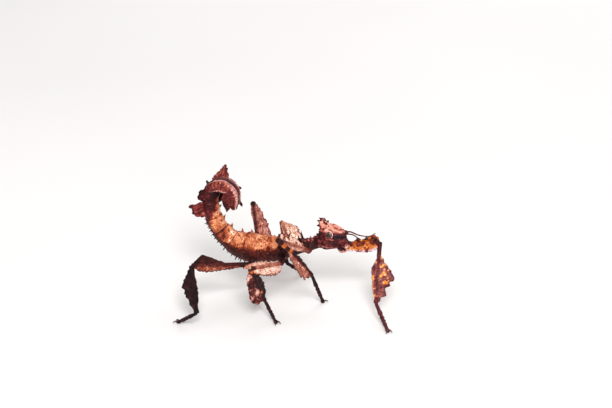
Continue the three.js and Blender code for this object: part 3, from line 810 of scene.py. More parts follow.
def lobe_outline(length, first, last, reach, sweep):
    """From the root's front corner over the swept-back tip to its rear corner."""
    start, end = (first - 0.5) * length, (last - 0.5) * length
    points = [
        (start - 0.35, 0.42), (start + 0.1 * sweep, 0.66), (start + 0.3 + 0.45 * sweep, 0.86),
        (0.5 * sweep + 0.1, 0.84), (sweep, 1), (sweep + 0.45, 0.94),
        (0.45 * (end + sweep) + 0.25, 0.7), (end + 0.15, 0.52),
    ]
    return [(start, 0), *((along, out * reach - LOBE_ROOT) for along, out in points), (end, 0)]


def add_tail_lobes(clay):
    names = [t[0] for t in TRUNK]
    for number, (name, side, shape, droop, tone, tooth) in enumerate(TAIL_LOBES):
        length = TRUNK[names.index(name)][1]
        middle, rear, back = spinal.at(spinal.start(name) + length / 2)
        outline = shape if shape is PEAK else lobe_outline(length, *shape)
        tilt = math.radians(droop)
        out = np.array([0, side * math.cos(tilt), 0]) - back * math.sin(tilt)
        leaf(clay, middle + out * LOBE_ROOT, rear, out, (outline[0][0], outline[-1][0]), outline,
             lobe_look(number, tone), tooth=tooth, thick=(0.7, 0.22), cup=0.35 * side,
             wave=0.2, veins=6)


# Lobes that hang over the sides of the curl like a skirt: side, first and last distance from
# the neck, lengths from the root on at even steps between them, lean away from the body in
# degrees, tone, how strong the painted highlight on the rim is, how pale the root is (partly own
# colour, partly painted highlight), and the length of a tip at the rear.
SKIRTS = [
    # Skirt 0, on the far side, is a dark backing sheet: its low tone is painted shade.
    (-1, 36.8, 40.6, (1.2, 2.6, 3.0, 2.9, 2.3, 1.6), 30, 0.28, 0.0, 0.0, 0.0),
    (-1, 39.4, 44.2, (1.5, 2.0, 2.15, 2.2, 2.3, 2.3, 1.6), 24, 0.44, 1.0, 0.0, 0.0),
    (-1, 43.4, 47.6, (1.6, 3.4, 3.9, 3.8, 4.0, 3.6, 2.0), 12, 0.38, 0.1, 0.8, 0.0),
    (-1, 46.0, 48.8, (1.8, 3.3, 3.7, 3.7, 3.6, 3.5, 3.4, 3.3), 8, 0.34, 0.0, 0.9, 1.8),
    (1, 34.4, 41.0, (3.2, 4.6, 5.3, 5.5, 5.3, 4.8, 4.2), 4, 0.16, 0.0, 0.0, 0.0),
    (1, 39.4, 44.2, (2.2, 3.0, 3.25, 3.3, 3.2, 2.9, 1.6), 24, 0.28, 0.0, 0.0, 0.0),
    (1, 43.4, 47.6, (1.6, 3.4, 3.9, 3.8, 4.0, 3.6, 2.0), 12, 0.32, 0.0, 0.8, 0.0),
    (1, 46.0, 48.8, (1.8, 3.3, 3.7, 3.7, 3.6, 3.5, 3.4, 3.3), 8, 0.3, 0.0, 0.9, 1.8),
]
# Angles round the body of a skirt's root, and of where it stops following the body's curve.
SKIRT_ROOT = math.radians(226)
SKIRT_OFF = math.radians(176)


def skirt_point(s, q, drop, lean, side, tongue):
    """A point at the share q of a skirt's drop, and the way out of its surface."""
    middle, rear, back = spinal.at(s)
    width, depth = spinal.half(s)
    girth = 0.5 * (width + depth)
    across = np.array([0, -side, 0])
    arc = min(q * drop / girth, SKIRT_ROOT - SKIRT_OFF)
    a = SKIRT_ROOT - arc
    away = across * math.cos(a) + back * math.sin(a)
    down = across * math.sin(a) - back * math.cos(a)
    down = down * math.cos(lean) + away * math.sin(lean)
    lift = 0.16 + 0.22 * q + 0.04 * math.sin(s * 9 + q * 3)
    point = middle + across * (math.cos(a) * width) + back * (math.sin(a) * depth)
    point = point + away * lift + down * (q * drop - arc * girth)
    return point + rear * tongue * max(0, 1 - abs(q - 0.64) / 0.3), away


def add_skirts(clay):
    columns, rows = 90, 26
    # rim sets the painted highlight on each skirt's rim; root the pale band by its root, partly painted
    # highlight.
    for number, (side, first, last, drops, lean, tone, rim, root, tongue) in enumerate(SKIRTS):
        s = np.linspace(first, last, columns)
        drop = np.interp(np.linspace(0, len(drops) - 1, columns), range(len(drops)), drops)
        drop += 0.12 * np.sin(s * 9.0 + number) + 0.1 * np.sin(s * 23.0)
        sheets = np.empty((2, columns, rows, 3))
        outer = int(side > 0)
        for i in range(columns):
            tip = tongue * (i / columns) ** 4
            for j, q in enumerate(np.linspace(0, 1, rows)):
                point, away = skirt_point(s[i], q, drop[i], math.radians(lean), side, tip)
                ribs = 0.05 * abs(math.sin(s[i] * 3.3 + q * 1.5)) ** 8
                half = 0.5 * (0.42 - 0.2 * q) + ribs
                sheets[outer, i, j] = point + away * half
                sheets[1 - outer, i, j] = point - away * half
        add_sheets(clay, sheets, lobe_look(number + 20, tone, rim, root))


def body_relief(points, looks):
    bumps = 0.09 * np.clip(grain(points, 0.45, 21), -0.2, 1) + 0.05 * grain(points, 0.22, 23)
    return bumps * (0.7 + 0.6 * looks[:, 0])


body = Clay()
for add in (add_trunk, add_back_thorns, add_small_spines, add_edge_spines, add_collar_spines,
            add_tail_lobes, add_skirts):
    add(body)
body_skin = melt(body, "body_skin", body_look, body_relief)

# ---------------------------------------------------------------- head

# Sections from nape to face: x, top, bottom, and half widths at the top, middle and bottom.
HEAD = [
    (14.7, 17.3, 15.2, 0.8, 1.2, 0.9),
    (15.4, 17.9, 14.9, 0.95, 1.5, 1.1),
    (16.1, 18.9, 14.75, 0.95, 1.75, 1.2),
    (16.5, 20.9, 14.7, 0.85, 1.9, 1.3),
    (16.8, 21.75, 14.65, 0.85, 2.0, 1.35),
    (17.8, 21.85, 14.7, 0.85, 2.15, 1.5),
    (19.0, 21.35, 14.8, 0.95, 2.1, 1.5),
    (20.2, 20.85, 14.95, 1.05, 1.9, 1.4),
    (21.3, 20.35, 15.05, 1.1, 1.65, 1.25),
    (22.15, 19.9, 15.3, 0.95, 1.35, 1.0),
    (22.7, 19.25, 15.7, 0.7, 1.0, 0.75),
    (23.05, 18.3, 16.5, 0.3, 0.4, 0.3),
]
HEAD_SIDES = 132
HEAD_STEPS = 170
GRANULES = 230


def head_rings():
    table = curve(HEAD, HEAD_STEPS)
    a = np.linspace(0, 2 * math.pi, HEAD_SIDES, endpoint=False)
    cos, sin = np.cos(a), np.sin(a)
    high = np.sign(sin) * np.abs(sin) ** 0.9
    rings = np.empty((len(table), len(a), 3))
    up, down = np.clip(high, 0, 1) ** 1.2, np.clip(-high, 0, 1) ** 1.3
    for i, (x, top, bottom, w_top, w_mid, w_low) in enumerate(table):
        side = w_mid + (w_top - w_mid) * up + (w_low - w_mid) * down
        rings[i, :, 0] = x
        rings[i, :, 1] = np.sign(cos) * np.abs(cos) ** 0.8 * side
        rings[i, :, 2] = (top + bottom) / 2 + high * (top - bottom) / 2
    # Shallow furrows: behind the cheek, under the eye and over the jaw.
    x, y, z = rings[..., 0], rings[..., 1], rings[..., 2]
    furrow = 0.3 * hump(x, 17.3 + 0.25 * (z - 17), 0.28) * smooth((19.3 - z) / 1.5)
    furrow += 0.22 * hump(z, 17.35 - 0.12 * (x - 20), 0.25) * smooth(x - 18)
    furrow += 0.25 * hump(z, 16.0 + 0.1 * (x - 20), 0.22) * smooth(x - 17.5)
    rings[..., 1] *= 1 - furrow * np.abs(y) / 2.2
    return rings


def head_looks(points):
    x, y, z = points.T
    wide, fine = grain(points, 0.95, 31), grain(points, 0.4, 35)
    border = 19.9 - 0.1 * (x - 16) + 0.35 * wide
    upper = smooth((z - border + 0.25) / 0.5)
    # Salmon crown and brow with maroon mottling and pale tips.
    crown = 0.67 + 0.16 * wide + 0.12 * fine + 0.06 * smooth((z - 21) / 1.2)
    crown -= 0.3 * (lumps(points, 0.7, 39) > 0.45) + 0.25 * hump(x, 16.0, 0.45)
    # Maroon face with red and pink patches.
    face = 0.34 + 0.22 * wide + 0.16 * fine
    face += 0.42 * hump(z, 15.5 + 0.25 * wide, 0.32) * (fine > -0.2)
    face += 0.3 * hump(z, 17.9, 0.25) * hump(x, 19.0, 0.7) * (fine > -0.3)
    face += 0.22 * (lumps(points, 0.55, 37) > 0.5) - 0.12 * smooth((17.3 - x) / 1.2)
    # A blue-black stripe from the eye to the feelers.
    stripe = hump(z, 18.75 - 0.1 * (x - 20), 0.42) * smooth((x - 19.7) / 0.4)
    stripe = stripe * smooth((22.9 - x) / 0.5) * (np.abs(y) > 0.5) * (1 - upper)
    tone = face + upper * (crown - face) - 0.3 * stripe
    red = 0.45 * (lumps(points, 0.8, 45) > 0.3)
    return look_of(tone, (1 - upper) * (1 - red), np.clip(stripe * 1.2, 0, 1))


def eye_ring(clay, side):
    """A raised ring round an eye, pale, and palest above and in front as a painted highlight."""
    turns, sides, tube = 64, 12, 0.12
    t = np.linspace(0, 2 * math.pi, turns, endpoint=False)
    b = np.linspace(0, 2 * math.pi, sides, endpoint=False)
    outward = np.stack([np.cos(t), 0 * t, np.sin(t)], axis=1)
    middle = np.array([EYE["x"], side * (EYE["y"] + 0.06), EYE["z"]]) + outward * [0.84, 0, 0.98]
    thick = np.cos(b)[:, None] * outward[:, None] + np.sin(b)[:, None] * np.array([0, 1.0, 0])
    index = np.arange(turns * sides).reshape(turns, sides)
    faces = quads(np.pad(index, (0, 1), mode="wrap"))
    # Painted highlight: the ring brightens towards above and in front.
    pale = 0.62 + 0.36 * np.cos(t - math.radians(50)) + 0.12 * np.sin(7 * t)
    rings = middle[:, None] + tube * thick
    clay.add(rings.reshape(-1, 3), faces, look_of(np.repeat(pale, sides), 0.25))


head = Clay()
head_grid = head_rings()


def paint_like_head(clay, rings, lighter=0.0):
    clay.loft(rings, head_looks(np.reshape(rings, (-1, 3))) + [lighter, 0, 0])


paint_like_head(head, head_grid)

# Crown spines: base, direction, length and base radius, on the left side.
CROWN_SPINES = [
    ((16.3, 0.75, 22.1), (-0.95, 0.2, 0.45), 0.8, 0.3),
    ((16.75, 0.45, 22.35), (-0.4, -0.15, 1.0), 0.45, 0.3),
    ((17.45, 0.6, 22.1), (0.15, 0.1, 1.0), 0.5, 0.3),
    ((18.2, 0.75, 21.7), (0.35, 0.3, 1.0), 0.45, 0.26),
    ((15.95, 0.8, 20.9), (-1.0, 0.35, -0.05), 0.55, 0.24),
]
for side in (-1, 1):
    mirror = np.array([1, side, 1])
    # The crown is two blunt horns with a dark hollow between them.
    horn = mirror * [(17.2, 0.5, 20.6), (16.95, 0.62, 21.6), (16.75, 0.72, 22.3)]
    paint_like_head(head, worm(horn, np.linspace(0.95, 0.55, 16), 22, up=(0, 1, 0)))
    for base, way, length, radius in CROWN_SPINES:
        spine(head, base * mirror, way * mirror, length, radius, (0.13, 0.9, 0.1), sides=12)
    # A brow ridge down to the feeler's socket.
    brow = mirror * [(18.4, 1.25, 20.75), (19.8, 1.3, 20.45), (21.2, 1.15, 20.0), (22.2, 0.85, 19.6)]
    paint_like_head(head, worm(brow, 0.3 * np.sin(np.linspace(0.5, 2.9, 40)) ** 0.5, 12), 0.05)
    eye_ring(head, side)
    # Feeler socket, and the cheek behind the jaw.
    socket = mirror * [(21.7, 0.6, 19.0), (22.5, 0.72, 19.1), (22.95, 0.82, 19.15)]
    head.loft(worm(socket, [0.52] * 10 + [0.48, 0.4], 18), (0.36, 0.6, 0.2))
    cheek = mirror * [(17.7, 1.25, 16.7), (19.2, 1.6, 16.3), (20.9, 1.4, 16.1)]
    paint_like_head(head, worm(cheek, 0.6 * np.sin(np.linspace(0.4, 2.7, 20)), 16), 0.04)
# Granules over the whole head, dark thorns down the nape, and fine hairs on the crown.
for _ in range(GRANULES):
    i, j = RNG.integers(18, HEAD_STEPS - 12), RNG.integers(0, HEAD_SIDES)
    point = head_grid[i, j]
    near_eye = math.hypot(point[0] - EYE["x"], point[2] - EYE["z"]) < 1.35
    if near_eye and abs(point[1]) > 1.2:
        continue
    out = point - np.array([point[0] + 0.2, 0, 18.0])
    upper = point[2] > 19.9
    hairy = upper and RNG.uniform() < 0.45
    length = RNG.uniform(0.3, 0.55) if hairy else RNG.uniform(0.12, 0.26)
    radius = 0.07 if hairy else RNG.uniform(0.1, 0.17)
    look = (RNG.choice([0.75, 0.4]), 0.1, 0.0) if upper else (RNG.choice([0.14, 0.3, 0.6]), 0.8, 0.0)
    spine(head, point, out, length, radius, look, sides=6)
for x, z in ((15.3, 17.9), (15.9, 18.6), (16.3, 19.7)):
    for side in (-1, 1):
        spine(head, (x, 0.6 * side, z), (-0.8, 0.25 * side, 0.7), 0.5, 0.22, (0.1, 0.9, 0.2), sides=8)


def head_relief(points, looks):
    return 0.07 * grain(points, 0.34, 41) + 0.035 * grain(points, 0.15, 43)


head_skin = melt(head, "head_skin", head_look, head_relief)

# ---------------------------------------------------------------- mouthparts

# Palps on the left side: path, radius and joints.
PALPS = [
    ([(21.7, 0.8, 15.7), (22.4, 1.3, 14.9), (23.1, 1.3, 14.95), (23.45, 1.0, 15.75)], 0.18, 4),
    ([(20.8, 0.5, 15.3), (21.4, 0.8, 14.55), (22.0, 0.8, 14.3), (22.5, 0.6, 14.6)], 0.16, 3),
]
mouth = Clay()
lip = [(22.5, 0, 17.0), (23.0, 0, 16.2), (22.9, 0, 15.3), (22.4, 0, 14.7)]
paint_like_head(mouth, worm(lip, np.linspace(0.75, 0.55, 20), 24, up=(0, 1, 0), flat=0.6), 0.12)
for side in (-1, 1):
    mirror = np.array([1, side, 1])
    jaw = mirror * [(21.3, 1.1, 15.9), (22.1, 1.05, 15.2), (22.7, 0.6, 14.8), (22.9, 0.15, 14.75)]
    mouth.loft(worm(jaw, np.linspace(0.62, 0.28, 20), 18), (0.16, 0.9, 0.3))
    for path, radius, joints in PALPS:
        swell = np.abs(np.sin(math.pi * joints * np.linspace(0, 1, 40)))
        radii = radius * (0.85 + 0.25 * swell**0.6)
        radii[-3:] *= [0.9, 0.7, 0.35]
        mouth.loft(worm(mirror * path, radii, 12), look_of(np.repeat(0.56 + 0.2 * swell, 12), 0.3))
mouth_skin = melt(mouth, "mouth_skin", head_look, head_relief)

# ---------------------------------------------------------------- feelers

ANTENNAE = {
    "left": [
        (22.9, 0.8, 19.15), (23.8, 1.2, 19.15), (25.7, 1.8, 18.2), (28.1, 2.6, 17.8),
        (29.6, 3.2, 18.6),
    ],
    "right": [
        (22.9, -0.8, 19.25), (23.8, -1.2, 19.6), (25.3, -1.8, 19.7), (26.6, -2.4, 19.1),
        (26.9, -3.0, 18.2),
    ],
}


def make_antenna(hand, points):
    joints, sides = 13, 14
    t = np.linspace(0, 1, 260)
    radii = 0.2 - 0.09 * t
    radii *= 0.82 + 0.25 * np.abs(np.sin(math.pi * joints * t)) ** 0.5
    radii += 0.16 * np.exp(-((t / 0.07) ** 4)) + 0.05 * hump(t, 0.12, 0.03)
    radii[-8:] *= np.linspace(1, 0.3, 8)
    tones = 0.3 + 0.12 * np.sin(math.pi * joints * 2 * t) + 0.08 * t
    clay = Clay()
    clay.loft(worm(points, radii, sides), look_of(np.repeat(tones, sides), 0.85))
    return cast(clay, "antenna_skin_" + hand, head_look)


antennae = {hand: make_antenna(hand, points) for hand, points in ANTENNAE.items()}

# ---------------------------------------------------------------- eyes


def make_eye_material():
    """A mottled eye, from dark to pale by its tone, with fine facets and a clear coat."""
    n = Nodes("compound_eye")
    tone, _, _ = n.look()
    place = n.place()
    mottle = n.noise(3.2 / MM, 3, 0.6, 0.2, place)
    shade = n.math("MULTIPLY_ADD", n.math("SUBTRACT", mottle, 0.5), 0.5, tone, True)
    colour = n.ramp(shade, [
        (0.0, "0d0505"), (0.28, "341415"), (0.48, "73443c"), (0.68, "b0877a"), (0.88, "e6d2c9"),
        (1.0, "fbf5ee"),
    ])
    facets = n.cells(11 / MM, place)
    normal = n.bump(n.math("SUBTRACT", 1.0, facets), 0.02 * MM, 0.6)
    return n.finish({
        "Base Color": colour, "Roughness": 0.3, "Coat Weight": 0.22, "Coat Roughness": 0.08,
        "Normal": normal,
    })


eye_look = make_eye_material()


def make_eye(hand, side):
    rows, columns = 96, 128
    lat = np.linspace(-math.pi / 2, math.pi / 2, rows + 2)[1:-1]
    lon = np.linspace(0, 2 * math.pi, columns, endpoint=False)
    a, b = np.meshgrid(lat, lon, indexing="ij")
    # The axis of the rings points out of the head.
    local = np.stack([np.cos(a) * np.cos(b), np.sin(a) * side, np.cos(a) * np.sin(b)], axis=2)
    if side > 0:
        local = local[:, ::-1]
    # The ball is a little narrower than the solid eye, and leaves room for the ring round it.
    half = np.array(EYE["half"]) * [0.84, 1.0, 0.86]
    points = np.array([EYE["x"], side * EYE["y"], EYE["z"]]) + local * half
    ahead, up, outward = local[..., 0], local[..., 2], np.abs(local[..., 1])
    # A dark middle with a dark band through it, and a pale rim that a painted highlight makes brightest
    # above.
    radius = np.hypot(ahead / 0.9, up)
    tone = 0.12 + 0.36 * smooth((radius - 0.5) / 0.3) - 0.2 * smooth((radius - 0.93) / 0.07)
    # Painted highlight above and in front.
    tone += 0.2 * hump(ahead, 0.45, 0.3) * hump(up, 0.45, 0.3)
    slanted = ahead + 0.25 * up
    tone -= (0.45 * hump(slanted, -0.05, 0.17) + 0.2 * hump(slanted, 0.52, 0.08)) * (outward > 0.3)
    clay = Clay()
    clay.loft(points, look_of(tone, 0.0))
    return cast(clay, "eye_" + hand + "_shell", eye_look)


eyes = {hand: make_eye(hand, side) for hand, side in (("right", -1), ("left", 1))}

# ---------------------------------------------------------------- legs


def bark(base, spread=0.14, hue=0.1, dark_rim=0.25, stripes=0.06, accent=0.0, seed=0, spots=0.0):
    """A look for a leafy keel: lengthwise streaks, blotches, a dark worn rim."""

    def look(p, q, points):
        streak = 1.5 * stripes * np.sin(q * 34 + 4 * lumps(points, 0.9, seed) + 3 * p)
        tone = base + streak + spread * grain(points, 0.9, seed + 2)
        tone += 0.5 * spread * lumps(points, 0.35, seed + 5)
        tone += 0.4 * spread * lumps(points, 0.2, seed + 6)
        tone -= dark_rim * smooth((q - 0.88) / 0.1)
        tone -= spots * smooth((grain(points, 1.0, seed + 7) - 0.08) / 0.1)
        edge = accent * (0.75 + 0.5 * lumps(points, 0.6, seed + 9))
        return look_of(tone, hue, np.clip(edge, 0, 1))

    return look


# Where each of the foot's five joints starts, and where the last one ends, in shares of its
# length, and how low the middle of a joint can be.
FOOT_JOINTS = [0.0, 0.4, 0.54, 0.66, 0.76, 1.0]
FOOT_LIFT = 0.5
LIMB_SIDES = 20


class Leg:
    """One leg: its joints and directions, and the clay that its skin is melted from."""

    def __init__(self, name):
        coxa, hip, femur_way, tibia_way, foot_way = LEGS[name]
        self.name = name
        self.length = LENGTHS[name.split("_")[0]]
        self.coxa, self.hip = np.array(coxa), np.array(hip)
        femur, tibia = heading(*femur_way), heading(*tibia_way)
        knee = self.hip + femur * self.length["femur"]
        self.ankle = knee + tibia * self.length["tibia"]
        drop = (self.ankle[2] - PAD["height"]) / (self.length["tarsus"] - PAD["radius"])
        self.tarsus = heading(foot_way, -math.degrees(math.asin(drop)))
        self.tip = self.ankle + self.tarsus * (self.length["tarsus"] - PAD["radius"])
        self.forward = unit([self.tarsus[0], self.tarsus[1], 0])
        self.front = unit(np.cross(femur, tibia)) * (1 if name.endswith("right") else -1)
        bent = tibia @ femur
        self.limbs = {
            "femur": (self.hip, femur, -unit(tibia - femur * bent)),
            "tibia": (knee, tibia, unit(femur - tibia * bent)),
        }
        self.clay = Clay()

    def hip_and_coxa(self, look):
        t = np.linspace(0, 1, 30)
        path = self.coxa + np.outer(t, self.hip - self.coxa)
        r = 0.9 - 0.25 * t - 0.12 * hump(t, 0.78, 0.06)
        self.clay.loft(tube_rings(path, r, 20, ribs=3, rib_height=0.15, up=self.front), look)
        ball = self.hip + np.outer(np.linspace(-0.5, 0.6, 14), self.limbs["femur"][1])
        r = 0.68 * np.sqrt(np.clip(1 - np.linspace(-1, 1, 14) ** 2, 0.06, 1))
        self.clay.loft(tube_rings(ball, r, 16, up=self.front), look)

    def keel(self, limb, turn, outline, look, root=None, **more):
        """A leafy keel; `turn` is its roll on the limb: 0 upper, 90 front, 180 lower.

        The outline is in shares of the limb's length and millimetres outward. `root` is
        the stretch it grows from, where the outline's own ends are not that.
        """
        start, way, upper = self.limbs[limb]
        length = self.length[limb]
        first, last = root or (outline[0][0], outline[-1][0])
        a = math.radians(turn)
        out = upper * math.cos(a) + self.front * math.sin(a)
        points = [(u * length, v) for u, v in outline]
        leaf(self.clay, start, way, out, (first * length, last * length), points, look, **more)

    def rod(self, limb, radii, stops, seed, hue=0.1, accent=0.0, bow=0.0, knob=0.25,
            thorns=None, upper_thorns=False):
        """A limb's rod: four ridges along it, a swollen end, a slight bow and small thorns.

        Stops are shares of its length, each with its tone, and hue where that changes.
        Thorns are their count, length and look.
        """
        start, way, upper = self.limbs[limb]
        length = self.length[limb]
        t = np.linspace(0, 1, max(30, int(length * 7)))
        path = start + np.outer(t * length, way) + np.outer(np.sin(math.pi * t) * bow, upper)
        r = radii[0] + (radii[1] - radii[0]) * t
        r = r * (1 + knob * hump(t, 0.97, 0.05) + 0.1 * hump(t, 0, 0.06))
        r[[0, -1]] *= 0.5
        rings = tube_rings(path, r, LIMB_SIDES, ribs=4, rib_height=0.22, up=upper)
        at, tones, *hues = zip(*stops)
        along = np.repeat(t, LIMB_SIDES)
        tone = np.interp(along, at, tones) + 0.08 * grain(rings.reshape(-1, 3), 0.6, seed)
        hue = np.interp(along, at, hues[0]) if hues else hue
        self.clay.loft(rings, look_of(tone, hue, accent))
        if thorns:
            outs = [self.front, -self.front] + ([upper] if upper_thorns else [])
            self.thorns(path, way, outs, *thorns, np.random.default_rng(seed + 1))

    def thorns(self, path, way, outs, count, length, look, rng):
        for _ in range(count):
            k = int(rng.uniform(0.06, 0.94) * (len(path) - 1))
            out = outs[rng.integers(len(outs))]
            size = length * rng.uniform(0.6, 1.2)
            spine(self.clay, path[k] + out * 0.4, out + 0.35 * way, size, 0.12, look, sides=6)

    def foot(self, tone, hue, accent):
        """Five joints, the middle three short and with pads, and the pad between the claws."""
        ends = [self.ankle + (self.tip - self.ankle) * share for share in FOOT_JOINTS]
        for i, (a, b) in enumerate(zip(ends, ends[1:])):
            t = np.linspace(0, 1, 26)
            path = a + np.outer(t, b - a) + np.outer(np.sin(math.pi * t) * 0.06, self.front)
            path[:, 2] = np.maximum(path[:, 2], FOOT_LIFT)
            r = 0.4 + 0.14 * smooth((t - 0.45) / 0.5) - (0.05 if i == 4 else 0) * t
            r[0] *= 0.7
            r[-1] *= 0.8
            rings = tube_rings(path, r, 16, ribs=4, rib_height=0.16, up=self.front)
            shade = tone + 0.05 * (i % 2) + 0.1 * grain(rings.reshape(-1, 3), 0.5, 65 + i)
            self.clay.loft(rings, look_of(shade, hue, accent))
            if 0 < i < 4:
                heel = b - np.array([0, 0, 0.2])
                pad = [heel - self.tarsus * 0.3, heel, heel + self.tarsus * 0.18]
                pad = tube_rings(pad, [0.12, 0.3, 0.12], 12, up=self.front)
                self.clay.loft(pad, (tone + 0.12, hue, accent))
        t = np.linspace(-1, 1, 25)
        path = self.tip * [1, 1, 0] + [0, 0, PAD["height"] + 0.06] + np.outer(t * 0.55, self.forward)
        rings = tube_rings(path, PAD["radius"] * np.sqrt(np.clip(1 - t**2, 0.02, 1)), 22)
        rings[..., 2] = np.maximum(rings[..., 2], 0.0)
        self.clay.loft(rings, (tone + 0.08, hue, accent))

    def claws(self):
        clay = Clay()
        ahead, up = self.forward, np.array([0, 0, 1])
        for side in (-1, 1):
            out = side * np.array([-ahead[1], ahead[0], 0])
            root = self.tip * [1, 1, 0] + up * (PAD["height"] + 0.2) + out * 0.24
            points = [
                root - ahead * 0.2, root + ahead * 0.42 + out * 0.22 + up * 0.16,
                root + ahead * 0.9 + out * 0.4 + up * 0.02,
                root + ahead * 1.15 + out * 0.46 - up * 0.34,
            ]
            clay.loft(worm(points, np.linspace(0.2, 0.06, 26), 14), (0.08, 0.3, 0))
        return cast(clay, "claws_" + self.name, claw_look)


def make_claw_material():
    """Dark streaky horn, slightly glossy."""
    n = Nodes("claw_horn")
    streak = n.noise(3.0 / MM, 3, 0.5, 0.4, n.place())
    colour = n.ramp(streak, [(0.25, "140b09"), (0.6, "3b2019"), (0.9, "7a4a35")])
    normal = n.bump(streak, 0.02 * MM, 0.5)
    return n.finish({"Base Color": colour, "Roughness": 0.3, "Normal": normal})


claw_look = make_claw_material()

# Each function below builds one leg's coxa, femur and tibia, and gives its foot's look.


def fore_right(leg):
    leg.hip_and_coxa((0.2, 0.1, 0.3))
    pale = bark(0.84, 0.24, 0.06, 0.55, 0.13, 0.06, seed=51, spots=0.4)
    leg.keel("femur", 0, [
        (0.1, 0.2), (0.2, 1.1), (0.4, 1.9), (0.6, 2.25), (0.8, 2.1), (0.93, 1.6), (0.985, 0.3),
    ], pale, (0.1, 0.98), teeth=11, tooth=0.4, veins=7, cup=0.3)
    leg.keel("femur", 180, [(0.15, 0.2), (0.35, 0.9), (0.6, 1.15), (0.85, 0.95), (0.97, 0.3)],
             bark(0.8, 0.14, 0, 0.3, 0.08, 0.3, seed=53))
    leg.rod("femur", (0.6, 0.52), [(0, 0.35), (0.3, 0.6), (0.8, 0.5), (0.88, 0.12), (1, 0.1)], 55,
            hue=0.05, accent=0.1, thorns=(22, 0.55, (0.25, 0, 0.2)))
    bands = [
        (0, 0.1, 0.2), (0.1, 0.1, 0.2), (0.13, 0.62, 1), (0.19, 0.62, 1), (0.22, 0.08, 0.5),
        (0.29, 0.08, 0.5), (0.32, 0.66, 1), (0.36, 0.5, 1), (0.4, 0.1, 0.3), (0.56, 0.16, 0),
        (0.7, 0.22, 0), (1, 0.12, 0),
    ]
    leg.rod("tibia", (0.55, 0.48), bands, 57, bow=-0.6, thorns=(16, 0.4, (0.1, 0, 0.2)))
    leg.keel("tibia", 0, [
        (0.34, 0.2), (0.4, 1.1), (0.53, 1.9), (0.66, 2.5), (0.76, 3.1), (0.78, 2.1), (0.85, 2.7),
        (0.87, 1.6), (0.93, 1.2), (0.97, 0.3),
    ], bark(0.6, 0.2, 0.15, 0.3, 0.12, 0.35, seed=59), teeth=5, tooth=0.3, veins=7, cup=-0.2)
    leg.keel("tibia", 180, [(0.3, 0.2), (0.45, 1.0), (0.62, 1.3), (0.8, 0.9), (0.92, 0.2)],
             bark(0.25, 0.14, 0.05, 0.2, 0.1, 0.5, seed=61), teeth=6)
    return (0.1, 0.0, 0.3)


def fore_left(leg):
    leg.hip_and_coxa((0.25, 0.3, 0.5))
    leg.keel("femur", 0, [
        (0.25, 0.2), (0.36, 0.8), (0.42, 1.35), (0.45, 0.6), (0.56, 1.0), (0.62, 1.6), (0.65, 0.8),
        (0.78, 1.35), (0.9, 1.9), (0.97, 1.3), (0.99, 0.3),
    ], bark(0.62, 0.2, 0.95, 0.3, 0.06, 0.0, seed=71, spots=0.5), (0.25, 0.98), teeth=9, tooth=0.3)
    hip, way, upper = leg.limbs["femur"]
    for u in (0.4, 0.6, 0.76, 0.9):
        base = hip + way * (u * leg.length["femur"]) + upper * 0.9
        spine(leg.clay, base, upper + 0.2 * way, 1.15, 0.72, (0.14, 0.5, 0.4))
    lower = bark(0.6, 0.2, 0.85, 0.0, 0.08, 0.0, seed=73, spots=0.35)

    def pale_edge(p, q, points):
        looks = lower(p, q, points)
        rim = smooth((q - 0.72) / 0.12)
        looks[:, 0] += 0.22 * rim
        looks[:, 2] = rim
        return looks

    leg.keel("femur", 180, [
        (0.15, 0.3), (0.35, 1.4), (0.6, 2.1), (0.78, 2.3), (0.9, 1.9), (0.97, 0.5),
    ], pale_edge, teeth=14, tooth=0.28)
    bands = [
        (0, 0.3, 0.4), (0.3, 0.5, 0.9), (0.45, 0.25, 0.6), (0.55, 0.55, 0.9), (0.68, 0.25, 0.6),
        (0.78, 0.55, 0.9), (0.9, 0.22, 0.5), (1, 0.2, 0.3),
    ]
    leg.rod("femur", (0.62, 0.55), bands, 75, thorns=(26, 0.55, (0.2, 0.6, 0.3)), upper_thorns=True)
    plum = bark(0.46, 0.16, 0.1, 0.12, 0.06, 0.9, seed=77)

    def flecked(p, q, points):
        looks = plum(p, q, points)
        glow = smooth((grain(points * [1, 1, 0.8], 1.2, 81) - 0.08) / 0.14)
        glow = glow * smooth((1.02 - q) / 0.2)
        looks[:, 0] += 0.3 * glow
        looks[:, 1] = 0.1 + 0.9 * glow
        looks[:, 2] *= 1 - glow
        return looks

    leg.keel("tibia", 0, [
        (0.2, 0.2), (0.3, 1.0), (0.4, 2.2), (0.5, 3.4), (0.58, 4.0), (0.63, 3.8), (0.65, 2.9),
        (0.73, 2.85), (0.75, 1.9), (0.87, 2.3), (0.89, 1.2), (0.96, 0.9), (0.985, 0.2),
    ], flecked, (0.2, 0.97), teeth=8, tooth=0.32, cup=0.4, wave=0.15, veins=9)
    leg.keel("tibia", 180, [
        (0.24, 0.2), (0.34, 0.9), (0.46, 1.6), (0.6, 1.4), (0.8, 0.95), (0.96, 0.3),
    ], flecked, (0.24, 0.97), teeth=7, tooth=0.2)
    leg.rod("tibia", (0.5, 0.34), [(0, 0.25), (0.25, 0.36), (0.5, 0.46), (1, 0.42)], 79, hue=0.15,
            accent=0.85, knob=0.5, thorns=(18, 0.35, (0.3, 0, 0.9)))
    return (0.34, 0.0, 0.9)


# The middle legs' tibial leaves share the first stretch of their rims.
MID_UPPER = [(0.04, 0.3), (0.15, 1.6), (0.32, 2.5), (0.5, 3.0)]
MID_LOWER = [(0.05, 0.2), (0.2, 1.1), (0.4, 1.7)]


